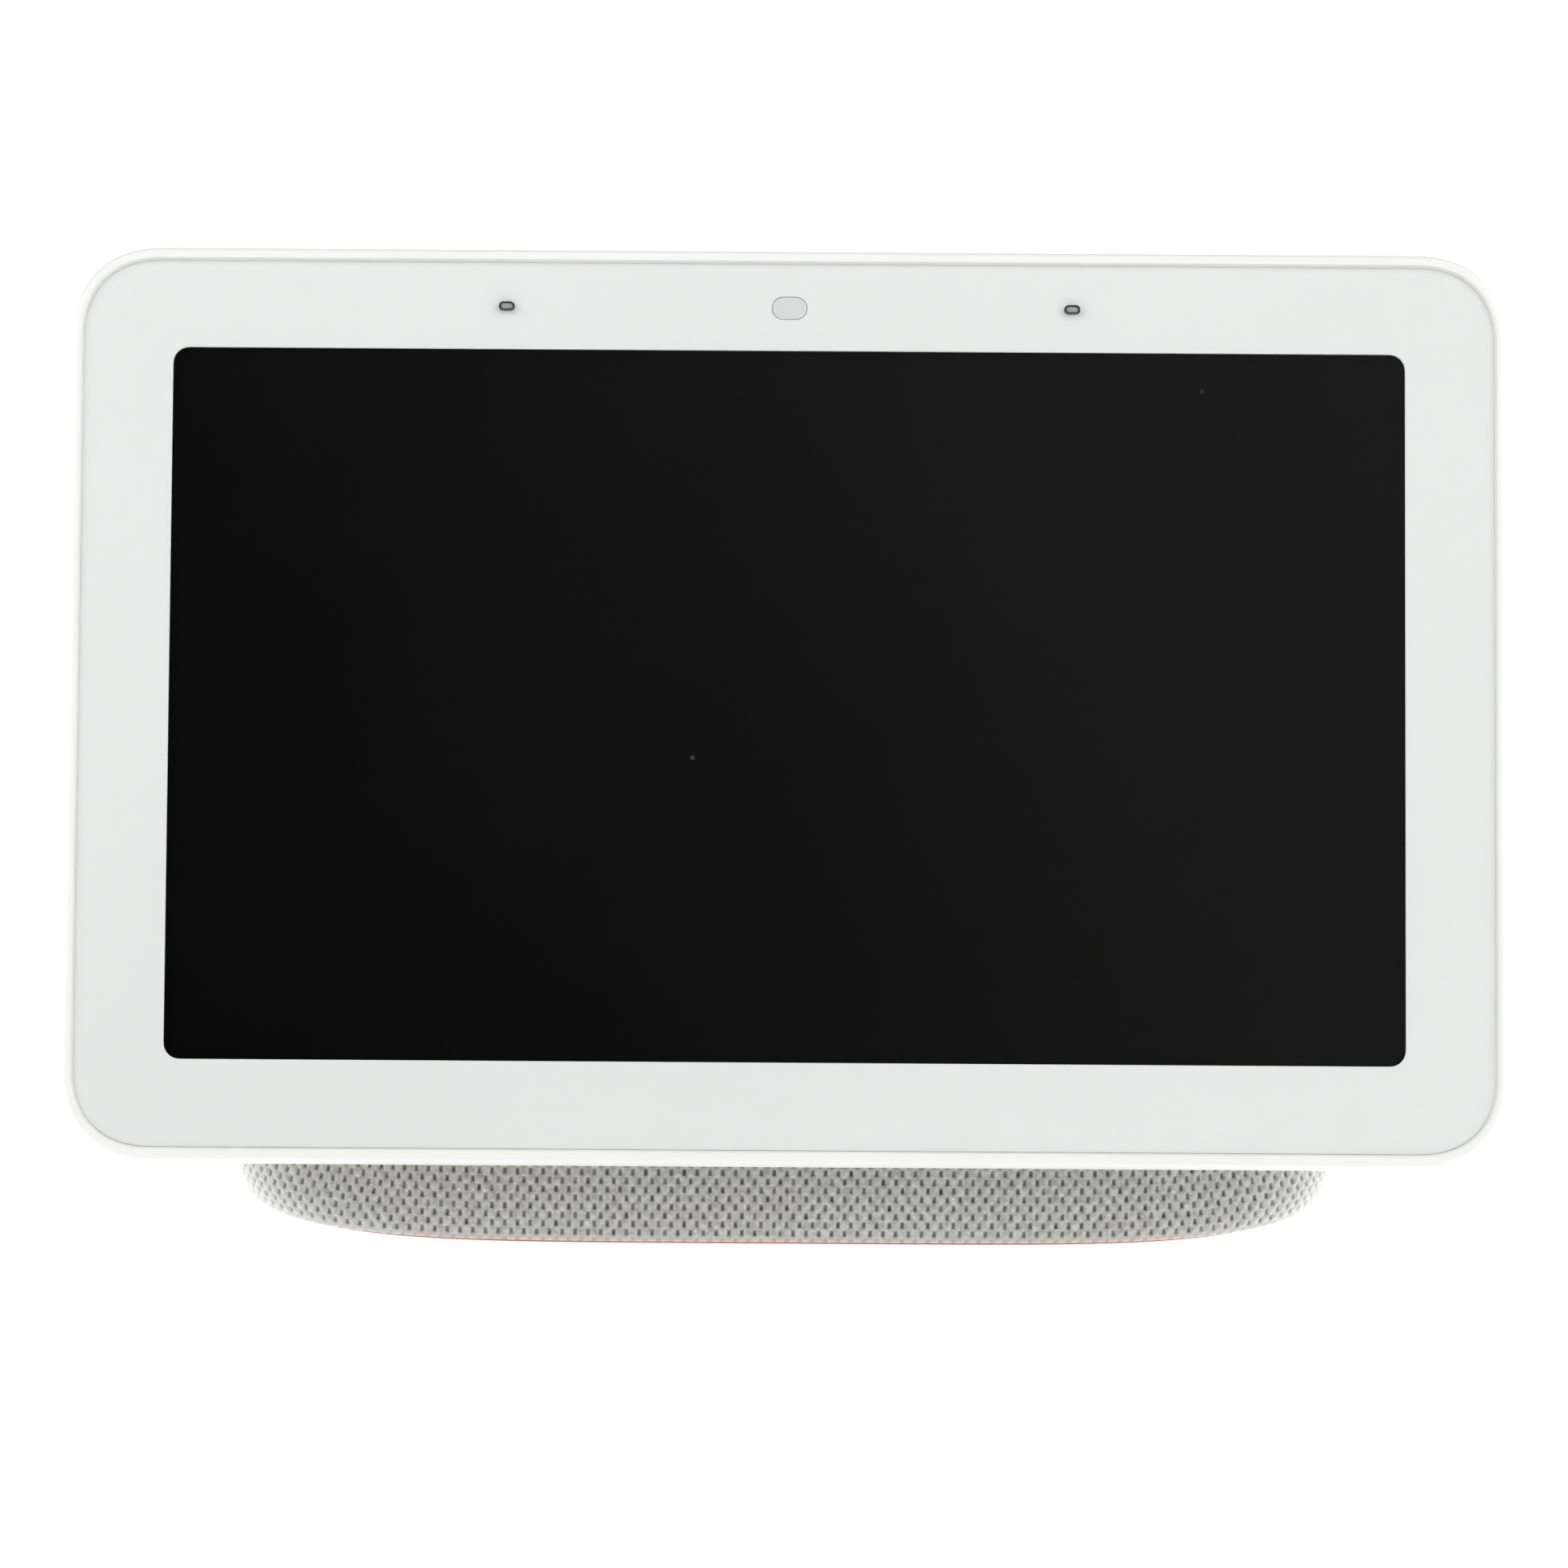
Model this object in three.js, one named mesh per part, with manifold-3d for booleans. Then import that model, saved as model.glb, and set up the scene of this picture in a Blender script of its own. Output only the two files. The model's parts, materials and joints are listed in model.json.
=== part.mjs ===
// A tabletop smart display: a flat touch screen head leaning back on a fabric-covered speaker base.
// Millimetres, +Z up, front towards -Y. The origin is under the middle of the object's box, on the table.
import * as THREE from "three";
import { mergeVertices } from "three/addons/utils/BufferGeometryUtils.js";
import Module from "manifold-3d";

const wasm = await Module();
wasm.setup();

// ---------------------------------------------------------------- driving dimensions

const degrees = (angle) => (angle * Math.PI) / 180;

const TILT = degrees(25); // the screen leans back from vertical by this much
const HEAD_CENTRE = { y: -9.85, z: 67.4 }; // middle of the glass's front face
const GAP = 0.1; // between stacked flat parts
const FIT = 0.3; // between parts that are cut to each other

const HOUSING = { width: 178.5, height: 113.9, corner: 10.3, depth: 12.6, wall: 1.8 };
const WIDEST = 4; // the housing's outline is widest this far behind the glass
const GLASS = { width: 174.9, height: 109.9, corner: 8.6, thickness: 1.1 };
const SCREEN = { width: 152.9, height: 88.4, corner: 2.0 }; // the area that shows black
const SEAM = 0.35; // the groove between glass and housing

const SENSOR_LINE = GLASS.height / 2 - 5.45; // height of the microphones and the light sensor
const MIC_X = 35.1;
const MIC_SLOT = { width: 1.9, height: 1.05 };
const SENSOR_WINDOW = { width: 4.3, height: 2.8 };

const ROCKER = { x: 72, v: 14, width: 5, length: 18, proud: 0.7, pivotDepth: 9.75 };
const MUTE = { v: 42.5, width: 5.4, height: 2.8, travel: 2, proud: 0.7 };
const NECK = { v: -30, screwX: 34, screwV: 8, windowWidth: 36, windowHeight: 14 };

// Where the head's layers lie behind the glass's face.
const BORDER = { from: -1.3, to: -1.2 };
const TOUCH = { from: -1.5, to: -1.4 };
const ADHESIVE = { from: -1.75, to: -1.6 };
const LCD = { width: 158, height: 93.4, corner: 1, from: -2.9, to: -1.6 };
const BACKLIGHT = { width: 159.4, height: 94.4, from: -5.2, to: -3 };
const POCKET = { width: 161, height: 97, corner: 2, from: -5.3, to: 0 };
const FRAME = { width: 170, height: 105, corner: 8, from: -6.5, to: -1.85 };
const SENSOR_BOARD = { width: 92, height: 3.8, y: SENSOR_LINE, from: -4.3, to: -3.4 };
const BOARD = { width: 124, height: 40, y: 18, from: -8.4, to: -7.2 };
const SHIELD = { from: -9.7, to: -8.5 };
const SPREADER = { width: 96, height: 29, corner: 3, y: 21, from: -10.4, to: -9.9 };
const KEY_BOARD = { width: 6.4, height: 24, from: -7.4, to: -6.7 };
const ANTENNA = { width: 5, height: 34, y: -22, from: -7.2, to: -6.7 };
const DISPLAY_FLEX = { x: 46.6, width: 16, start: -2.4 };
const TOUCH_FLEX = { x: -46, width: 8, start: -1.7 };
const FLEX_THICKNESS = 0.24;
const SOCKET_LINE = -9; // the flexes run into their sockets at this depth

const BOARD_SCREWS = [
  [-57, 33],
  [57, 33],
];
const NECK_SCREWS = [
  [-NECK.screwX, NECK.v + NECK.screwV],
  [NECK.screwX, NECK.v + NECK.screwV],
  [-NECK.screwX, NECK.v - NECK.screwV],
  [NECK.screwX, NECK.v - NECK.screwV],
];
const KEY_V = [ROCKER.v + 6.5, ROCKER.v - 6.5]; // the two keys under the rocker

const FABRIC_FLOOR = 1.0; // the knit ends this far above the table
const FABRIC = 1.0; // thickness of the knit
const SHELL = 2.2; // thickness of the moulded shell under it
const SHELL_INSET = FABRIC + FIT;
const FOOT = { inset: 1.6, height: FABRIC_FLOOR - GAP };
const CHASSIS = { inset: SHELL_INSET + SHELL + FIT, from: 1.3, to: 3.3, sunk: 2.2 };
const CHASSIS_SCREWS = [
  [-55, -7],
  [55, -7],
  [-55, 18],
  [55, 18],
];

const DRIVER = { y: 21.6, z: 36.6, rise: degrees(17), radius: 18.5 };
const DRIVER_PEGS = [
  [-38, -10],
  [38, -10],
  [-38, 11],
  [38, 11],
];
const WIRE_HOLE = { x: 27, y: -8 };
const JACK = { x: -34, z: 10, bore: 3, recess: 4.6, recessDepth: 6, rim: 0.9 };

const ROOM = 400; // the side of a block that is larger than the whole object

// ---------------------------------------------------------------- solids

// A closed geometry as a solid that can be cut and joined, with its faces turned to look outwards.
function solid(geometry) {
  const bare = geometry.clone();
  bare.deleteAttribute("normal");
  bare.deleteAttribute("uv");
  const merged = mergeVertices(bare, 1e-4);
  const enclose = (triangles) =>
    new wasm.Manifold(
      new wasm.Mesh({
        numProp: 3,
        vertProperties: new Float32Array(merged.attributes.position.array),
        triVerts: triangles,
      }),
    );
  const triangles = new Uint32Array(merged.index.array);
  const made = enclose(triangles);
  return made.volume() < 0 ? enclose(triangles.toReversed()) : made;
}

function geometryOf(made) {
  const mesh = made.getMesh();
  const geometry = new THREE.BufferGeometry();
  geometry.setAttribute("position", new THREE.BufferAttribute(mesh.vertProperties, 3));
  geometry.setIndex(new THREE.BufferAttribute(mesh.triVerts, 1));
  geometry.computeVertexNormals();
  return geometry;
}

const cut = (body, ...tools) =>
  geometryOf(tools.reduce((left, tool) => left.subtract(solid(tool)), solid(body)));
const join = (...bodies) =>
  geometryOf(bodies.map(solid).reduce((sum, body) => sum.add(body)));
const keep = (body, ...limits) =>
  geometryOf(limits.reduce((left, limit) => left.intersect(solid(limit)), solid(body)));

// The skin through a row of loops of points, closed by a fan at each end.
function loft(rings) {
  const count = rings[0].length;
  const middle = (ring) =>
    ring.reduce((sum, p) => sum.add(p), new THREE.Vector3()).divideScalar(count);
  const points = [...rings.flat(), middle(rings[0]), middle(rings.at(-1))];
  const faces = [];
  for (let i = 0; i < rings.length - 1; i++) {
    for (let j = 0; j < count; j++) {
      const [a, b] = [i * count + j, i * count + ((j + 1) % count)];
      faces.push(a, b, b + count, a, b + count, a + count);
    }
  }
  const [first, last] = [rings.length * count, rings.length * count + 1];
  for (let j = 0; j < count; j++) {
    const next = (j + 1) % count;
    const end = (rings.length - 1) * count;
    faces.push(first, next, j, last, end + j, end + next);
  }
  return outward(points, faces);
}

// Turns the faces round where they enclose a negative volume.
function outward(points, faces) {
  let volume = 0;
  for (let i = 0; i < faces.length; i += 3) {
    const [a, b, c] = [points[faces[i]], points[faces[i + 1]], points[faces[i + 2]]];
    volume += a.dot(new THREE.Vector3().crossVectors(b, c));
  }
  const index = volume < 0 ? faces.toReversed() : faces;
  return new THREE.BufferGeometry().setFromPoints(points).setIndex(index);
}

// ---------------------------------------------------------------- flat outlines

function roundedRect(width, height, corner, Path = THREE.Shape) {
  const [x, y] = [width / 2 - corner, height / 2 - corner];
  const path = new Path();
  path.absarc(x, y, corner, 0, Math.PI / 2);
  path.absarc(-x, y, corner, Math.PI / 2, Math.PI);
  path.absarc(-x, -y, corner, Math.PI, 1.5 * Math.PI);
  path.absarc(x, -y, corner, 1.5 * Math.PI, 2 * Math.PI);
  return path;
}

// A flat plate with rounded corners between two heights, placed at (x, y) in its own plane.
function plate({ width, height, corner = 0.5, from, to, x = 0, y = 0, segments = 2 }) {
  const made = new THREE.ExtrudeGeometry(roundedRect(width, height, corner), {
    depth: to - from,
    bevelEnabled: false,
    curveSegments: segments,
  });
  return made.translate(x, y, from);
}

const pill = (options) =>
  plate({ corner: Math.min(options.width, options.height) / 2 - 0.01, ...options });

// A round bar along the third axis.
function bar({ radius, from, to, x = 0, y = 0, sides = 20 }) {
  const made = new THREE.CylinderGeometry(radius, radius, to - from, sides);
  return made.rotateX(Math.PI / 2).translate(x, y, (from + to) / 2);
}

// A round bar along the first axis, centred on a point.
const crossBar = (radius, length, sides, x, y, z) =>
  new THREE.CylinderGeometry(radius, radius, length, sides).rotateZ(Math.PI / 2).translate(x, y, z);

// A solid of revolution about the third axis, from [radius, height] pairs that start and end on it.
function turned(profile, sides = 32) {
  const made = new THREE.LatheGeometry(
    profile.map(([radius, height]) => new THREE.Vector2(radius, height)),
    sides,
  );
  return geometryOf(solid(made.rotateX(Math.PI / 2)));
}

// A ring of revolution, from a closed list of [radius, height] pairs.
const turnedRing = (profile, sides = 32) => turned([...profile, profile[0]], sides);

// ---------------------------------------------------------------- finishes

const finish = (color, roughness, metalness = 0) =>
  new THREE.MeshStandardMaterial({ color, roughness, metalness });

const FINISHES = {
  whitePlastic: finish(0xf2f2ef, 0.45),
  greyPlastic: finish(0x8d9094, 0.6),
  blackPlastic: finish(0x1c1d1f, 0.6),
  glass: finish(0xe9edec, 0.08),
  screen: finish(0x0c0d0e, 0.15),
  knit: finish(0xb4b6b0, 0.95),
  coralRubber: finish(0xd9705f, 0.85),
  blackRubber: finish(0x17181a, 0.9),
  board: finish(0x1f5a3c, 0.55),
  steel: finish(0xb9bcc0, 0.35, 1),
  aluminium: finish(0xc9ccd0, 0.4, 1),
  brass: finish(0xc9a24a, 0.3, 1),
  magnet: finish(0x34363a, 0.5, 0.6),
  paper: finish(0x2a2b2d, 0.9),
  film: finish(0xc98a3a, 0.5),
};

function add(parent, name, geometry, material) {
  const mesh = new THREE.Mesh(geometry, FINISHES[material]);
  mesh.name = name;
  parent.add(mesh);
  return mesh;
}

// ---------------------------------------------------------------- frames

// The head's own frame: x to the right, y up along the glass, z out of the glass.
const product = new THREE.Group();
const head = new THREE.Group();
head.position.set(0, HEAD_CENTRE.y, HEAD_CENTRE.z);
head.rotation.x = Math.PI / 2 - TILT;
head.updateMatrixWorld(true);
product.add(head);

// The driver's own frame: z along its axis, out of the cone, towards the back of the base.
const driver = new THREE.Group();
driver.position.set(0, DRIVER.y, DRIVER.z);
driver.rotation.x = DRIVER.rise - Math.PI / 2;
driver.updateMatrixWorld(true);
product.add(driver);

const fromHead = (geometry) => geometry.clone().applyMatrix4(head.matrixWorld);

// ---------------------------------------------------------------- the head's housing

// [inset, depth] pairs from the front edge, out to the widest line and round to the flat back.
function housingProfile() {
  const quarter = (steps, place) =>
    Array.from({ length: steps }, (_, i) => place(((i + 1) / steps) * (Math.PI / 2)));
  const [front, round] = [0.15, 10];
  const lip = quarter(4, (turn) => [
    1 - Math.sin(turn),
    -WIDEST + (WIDEST - front) * Math.cos(turn),
  ]);
  const side = quarter(6, (turn) => [
    round * (1 - Math.cos(turn)),
    -WIDEST - (HOUSING.depth - WIDEST) * Math.sin(turn),
  ]);
  return [[1, -front], ...lip, ...side];
}

// The head's outline at an inset, with a wall's thickness taken off it as well.
function outlineRing([inset, depth], wall = 0, pointsPerCorner = 7) {
  const corner = HOUSING.corner + 0.3 * inset - 0.8 * wall;
  const x = HOUSING.width / 2 - inset - wall - corner;
  const y = HOUSING.height / 2 - inset - wall - corner;
  const ring = [];
  [[x, y], [-x, y], [-x, -y], [x, -y]].forEach(([cx, cy], quarter) => {
    for (let i = 0; i <= pointsPerCorner; i++) {
      const turn = (quarter + i / pointsPerCorner) * (Math.PI / 2);
      const [dx, dy] = [corner * Math.cos(turn), corner * Math.sin(turn)];
      ring.push(new THREE.Vector3(cx + dx, cy + dy, depth));
    }
  });
  return ring;
}

// The room inside the housing: straight down from the front, then parallel to the outside.
function housingRoom() {
  const [wall, reach] = [HOUSING.wall, HOUSING.depth - WIDEST];
  const inner = housingProfile()
    .filter(([, depth]) => depth < -WIDEST)
    .map(([inset, depth]) => [inset, -WIDEST + (depth + WIDEST) * (1 - wall / reach)]);
  return loft([[0, 0.5], [0, -WIDEST], ...inner].map((step) => outlineRing(step, wall + 1.4)));
}

function rearHousing() {
  const outer = loft(housingProfile().map((step) => outlineRing(step)));
  const recess = plate({
    width: GLASS.width + 2 * SEAM,
    height: GLASS.height + 2 * SEAM,
    corner: GLASS.corner + SEAM,
    from: -GLASS.thickness - 0.5,
    to: 1,
    segments: 8,
  });
  const [back, inside] = [-HOUSING.depth, HOUSING.wall - HOUSING.depth];
  const through = { from: back - 1, to: inside + 1 };
  const rockerSlot = pill({
    width: ROCKER.width + 2 * FIT + 0.2,
    height: ROCKER.length + 2 * FIT + 0.2,
    x: ROCKER.x,
    y: ROCKER.v,
    ...through,
  });
  const muteSlot = pill({
    width: MUTE.width + MUTE.travel + 2 * FIT,
    height: MUTE.height + 2 * FIT,
    y: MUTE.v,
    ...through,
  });
  const shell = cut(outer, housingRoom(), recess, rockerSlot, muteSlot, neckWindow(through));
  return cut(join(shell, ...rockerEars(inside)), ...neckHoles(1.8, through), ...earBores());
}

// Two ears on the inside of the back carry the rocker's trunnions.
const EAR_X = [-1, 1].map((side) => ROCKER.x + side * (ROCKER.width / 2 + 2.9));

function rockerEars(inside) {
  return EAR_X.map((x) =>
    plate({ width: 1.6, height: 4.4, x, y: ROCKER.v, from: inside - 0.5, to: -8.4 }),
  );
}

const earBores = () =>
  EAR_X.map((x) => crossBar(1.0, 3, 20, x, ROCKER.v, -ROCKER.pivotDepth));

const neckWindow = (span) =>
  plate({
    width: NECK.windowWidth,
    height: NECK.windowHeight,
    corner: 3,
    y: NECK.v,
    ...span,
  });

const neckHoles = (radius, span) =>
  NECK_SCREWS.map(([x, y]) => bar({ radius, x, y, sides: 16, ...span }));

// ---------------------------------------------------------------- the layers behind the glass

const micSlot = (x, grow, span) =>
  pill({
    width: MIC_SLOT.width + grow,
    height: MIC_SLOT.height + grow,
    x,
    y: SENSOR_LINE,
    ...span,
  });

function coverGlass() {
  const pane = plate({ ...GLASS, from: -GLASS.thickness, to: 0, segments: 10 });
  const through = { from: -GLASS.thickness - 1, to: 1 };
  return cut(pane, micSlot(-MIC_X, 0, through), micSlot(MIC_X, 0, through));
}

// The white border behind the glass, with a window for the screen.
function borderFilm() {
  const film = plate({
    width: GLASS.width - 2,
    height: GLASS.height - 2,
    corner: GLASS.corner - 1,
    segments: 8,
    ...BORDER,
  });
  const through = { from: -2, to: 0 };
  const window = plate({ ...SCREEN, segments: 4, ...through });
  return cut(film, window, ...sensorHoles(through));
}

function touchFilm() {
  const size = { width: GLASS.width - 4, height: GLASS.height - 4, corner: 6 };
  const film = plate({ ...size, ...TOUCH });
  return cut(film, ...sensorHoles({ from: -2, to: 0 }));
}

// The three openings along the top that the border and the touch film share.
const sensorHoles = (span) => [
  micSlot(-MIC_X, 1.8, span),
  micSlot(MIC_X, 1.8, span),
  pill({
    width: SENSOR_WINDOW.width + 0.6,
    height: SENSOR_WINDOW.height + 0.6,
    y: SENSOR_LINE,
    ...span,
  }),
];

function glassAdhesive() {
  const outer = plate({ width: FRAME.width - 1, height: FRAME.height - 1, corner: 7, ...ADHESIVE });
  const inner = plate({ width: 163, height: 99, corner: 3, from: -2, to: -1 });
  const notch = plate({ width: 96, height: 8, y: 53, from: -2, to: -1 });
  return cut(outer, inner, notch);
}

function midFrame() {
  const body = plate({ ...FRAME, segments: 4 });
  const boardNotch = plate({ width: 96, height: 6.4, y: 51, corner: 1, from: -4.6, to: 0 });
  const flexSlots = [DISPLAY_FLEX, TOUCH_FLEX].map(({ x, width }) =>
    plate({ width: width + 3, height: 1.6, x, y: -47.5, from: -8, to: 0 }),
  );
  const bosses = NECK_SCREWS.map(([x, y]) =>
    bar({ radius: 3.2, x, y, from: -10.5, to: FRAME.from + 0.5 }),
  );
  const posts = BOARD_SCREWS.map(([x, y]) =>
    bar({ radius: 2, x, y, from: BOARD.to + GAP, to: FRAME.from + 0.5, sides: 12 }),
  );
  return cut(
    join(cut(body, plate(POCKET), boardNotch, ...flexSlots), ...bosses, ...posts),
    ...neckHoles(1.6, { from: -12, to: -7.4 }),
    ...boardHoles(0.95, { from: -9, to: FRAME.from + 0.4 }),
  );
}

// ---------------------------------------------------------------- electronics in the head

const boardHoles = (radius, span) =>
  BOARD_SCREWS.map(([x, y]) => bar({ radius, x, y, sides: 12, ...span }));

const mainBoard = () => cut(plate(BOARD), ...boardHoles(1.25, { from: -10, to: 0 }));

// A sheet-metal can over the chips, open towards the board.
function shieldCan({ width, height, x, y }) {
  const can = plate({ width, height, x, y, corner: 1, ...SHIELD });
  const inside = { from: SHIELD.from + 0.5, to: SHIELD.to + 1 };
  return cut(can, plate({ width: width - 1.2, height: height - 1.2, x, y, ...inside }));
}

// A strip with a rectangular section that follows a line of corners in the y-z plane.
function ribbon({ x, width, thickness, line }) {
  const half = thickness / 2;
  const points = line.map(([y, z]) => new THREE.Vector2(y, z));
  const side = (sign) =>
    points.map((point, i) => {
      const before = points[Math.max(0, i - 1)];
      const after = points[Math.min(points.length - 1, i + 1)];
      const into = point.clone().sub(before);
      const out = after.clone().sub(point);
      const [a, b] = [into.lengthSq() ? into : out, out.lengthSq() ? out : into];
      const normals = [a, b].map((v) => new THREE.Vector2(-v.y, v.x).normalize());
      const mitre = normals[0].add(normals[1]).normalize();
      const reach = half / Math.max(0.4, mitre.dot(new THREE.Vector2(-b.y, b.x).normalize()));
      return point.clone().addScaledVector(mitre, sign * reach);
    });
  const outline = new THREE.Shape([...side(1), ...side(-1).reverse()]);
  const strip = new THREE.ExtrudeGeometry(outline, { depth: width, bevelEnabled: false });
  // The outline's plane (y, z) is turned so that the extrusion runs along x.
  const turn = new THREE.Matrix4().makeBasis(
    new THREE.Vector3(0, 1, 0),
    new THREE.Vector3(0, 0, 1),
    new THREE.Vector3(1, 0, 0),
  );
  return strip.applyMatrix4(turn).translate(x - width / 2, 0, 0);
}

// The flat flexes leave the panel's lower edge and run up behind the frame to the main board.
function flex({ x, width, start }) {
  const [edge, behind] = [-47.7, -7.05];
  const line = [
    [edge, start],
    [edge, FRAME.from],
    [edge + 0.8, behind],
    [-9, behind],
    [-5.5, SOCKET_LINE],
    [0.6, SOCKET_LINE],
  ];
  return ribbon({ x, width, thickness: FLEX_THICKNESS, line });
}

// A socket on the back of the main board, open towards the board's lower edge.
function boardSocket({ x, width, mouth }) {
  const block = { width: width + 1.8, height: 3.6, x, y: 2.2, corner: 0.3 };
  const body = plate({ ...block, from: -10.2, to: BOARD.from - GAP });
  const opening = { width: width + 0.6, height: 2.4, x, y: 0.6, corner: 0.1 };
  const span = { from: SOCKET_LINE - mouth / 2, to: SOCKET_LINE + mouth / 2 };
  return cut(body, plate({ ...opening, ...span }));
}

function micBoot(x) {
  const span = { from: SENSOR_BOARD.to + GAP, to: TOUCH.from - GAP };
  const boot = plate({ width: 4.4, height: 3.4, corner: 1, x, y: SENSOR_LINE, ...span });
  return cut(boot, bar({ radius: 0.6, x, y: SENSOR_LINE, from: -4, to: 0, sides: 12 }));
}

function sensorBoard() {
  const ports = [-1, 1].map((side) =>
    bar({ radius: 0.5, x: side * MIC_X, y: SENSOR_LINE, from: -5, to: -3, sides: 10 }),
  );
  return cut(plate(SENSOR_BOARD), ...ports);
}

// ---------------------------------------------------------------- controls on the back of the head

// The rocker's cap stands through the back; its flange, trunnions and two nibs are inside.
function volumeRocker() {
  const place = { x: ROCKER.x, y: ROCKER.v };
  const crown = -HOUSING.depth - ROCKER.proud;
  const cap = pill({ width: ROCKER.width, height: ROCKER.length, from: crown, to: -9.6, ...place });
  const flange = plate({
    width: ROCKER.width + 2.4,
    height: ROCKER.length + 3,
    corner: 1.5,
    from: -10.1,
    to: -9.4,
    ...place,
  });
  const length = ROCKER.width + 7.6;
  const trunnions = crossBar(0.8, length, 16, ROCKER.x, ROCKER.v, -ROCKER.pivotDepth);
  const nibs = KEY_V.map((v) =>
    bar({ radius: 1, x: ROCKER.x, y: v, from: -9.6, to: -9.0, sides: 12 }),
  );
  return join(cap, flange, trunnions, ...nibs);
}

function keySwitch(v) {
  const can = plate({ width: 4.2, height: 4.2, x: ROCKER.x, y: v, from: -8.5, to: -7.5 });
  return cut(can, bar({ radius: 1.25, x: ROCKER.x, y: v, from: -10, to: -7.7, sides: 16 }));
}

const keyPlunger = (v) =>
  bar({ radius: 0.95, x: ROCKER.x, y: v, from: -8.85, to: -8.15, sides: 16 });

// The knob starts at the left end of its slot and slides to the right.
function muteSlider() {
  const x = -MUTE.travel / 2;
  const knob = pill({
    width: MUTE.width,
    height: MUTE.height,
    x,
    y: MUTE.v,
    from: -HOUSING.depth - MUTE.proud,
    to: -10,
  });
  const flange = plate({ width: 13, height: 6, x, y: MUTE.v, corner: 1, from: -10.5, to: -9.8 });
  const prong = plate({ width: 1.6, height: 1, x, y: MUTE.v, corner: 0.2, from: -10, to: -8.2 });
  return join(knob, flange, prong);
}

function muteSwitch() {
  const body = plate({ width: 9, height: 4.4, y: MUTE.v, from: -9.2, to: -7.9 });
  const slot = plate({ width: 4.6, height: 1.8, y: MUTE.v, corner: 0.3, from: -10, to: -8.1 });
  return cut(body, slot);
}

// ---------------------------------------------------------------- the base's shape

// Every section of the base lies in a plane that turns about one line under the screen's lower
// edge: flat on the table at the start, and along the back of the head at the end.
const JOINT_DEPTH = HOUSING.depth + FIT;
const BACK_ANGLE = Math.PI / 2 - TILT;
const PIVOT = (() => {
  const v = (FABRIC_FLOOR - HEAD_CENTRE.z + JOINT_DEPTH * Math.sin(TILT)) / Math.cos(TILT);
  const y = HEAD_CENTRE.y + v * Math.sin(TILT) + JOINT_DEPTH * Math.cos(TILT);
  return { y, z: FABRIC_FLOOR };
})();
const BASE = {
  halfWidth: 69.3, // on the table line
  front: -23.7, // where the knit meets the table line, in the middle of the front
  lean: 0.25, // how fast the front wall leans back as it rises
  rear: 33.45,
  reach: 26, // how much further from the turning line the back's top edge is than its foot
  flatness: { across: 5, along: 3 }, // exponents of the outline: 2 and 2 make an ellipse
};

function baseRing(angle, inset, sides = 44) {
  const share = angle / BACK_ANGLE;
  const near = (BASE.front - PIVOT.y) / (Math.cos(angle) - BASE.lean * Math.sin(angle));
  const far = BASE.rear - PIVOT.y + BASE.reach * share * Math.abs(share);
  const halfWidth = BASE.halfWidth + 11 * share - 21.6 * share * share - inset;
  const [middle, halfDepth] = [(near + far) / 2, (far - near) / 2 - inset];
  const ring = [];
  for (let i = 0; i < sides; i++) {
    const turn = (i / sides) * 2 * Math.PI;
    const round = (value, flatness) => Math.sign(value) * Math.abs(value) ** (2 / flatness);
    const x = halfWidth * round(Math.cos(turn), BASE.flatness.across);
    const distance = middle + halfDepth * round(Math.sin(turn), BASE.flatness.along);
    const y = PIVOT.y + distance * Math.cos(angle);
    ring.push(new THREE.Vector3(x, y, PIVOT.z + distance * Math.sin(angle)));
  }
  return ring;
}

// The base's body at an inset, running past the table line and past the head's back.
function baseBody(inset) {
  const rings = [];
  const [start, end, steps] = [degrees(-5), BACK_ANGLE + degrees(4), 7];
  for (let i = 0; i <= steps; i++) {
    rings.push(baseRing(start + ((end - start) * i) / steps, inset));
  }
  return loft(rings);
}

const above = (z) => new THREE.BoxGeometry(ROOM, ROOM, ROOM).translate(0, 0, z + ROOM / 2);
const behindHead = (depth) =>
  fromHead(new THREE.BoxGeometry(ROOM, ROOM, ROOM).translate(0, 0, -depth - ROOM / 2));

// Where the inlet's face stands, at the bottom of its recess.
const JACK_FACE = BASE.rear - 1 - JACK.recessDepth;
const BEZEL_FOOT = BASE.rear - SHELL_INSET - 0.2;

// A round bar on the inlet's axis, from one y to another.
function inletBar(radius, from, to, sides = 28) {
  const made = new THREE.CylinderGeometry(radius, radius, to - from, sides);
  return made.translate(JACK.x, (from + to) / 2, JACK.z);
}

const plugRecess = (radius) => inletBar(radius, JACK_FACE, JACK_FACE + 30);

const bezelSeat = () => {
  const foot = BEZEL_FOOT - FIT;
  return inletBar(JACK.recess + JACK.rim + FIT / 2, foot, foot + 10);
};

function fabricCover() {
  const skin = keep(baseBody(0), above(FABRIC_FLOOR), behindHead(JOINT_DEPTH));
  return cut(skin, baseBody(FABRIC), plugRecess(JACK.recess + JACK.rim + FIT));
}

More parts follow.
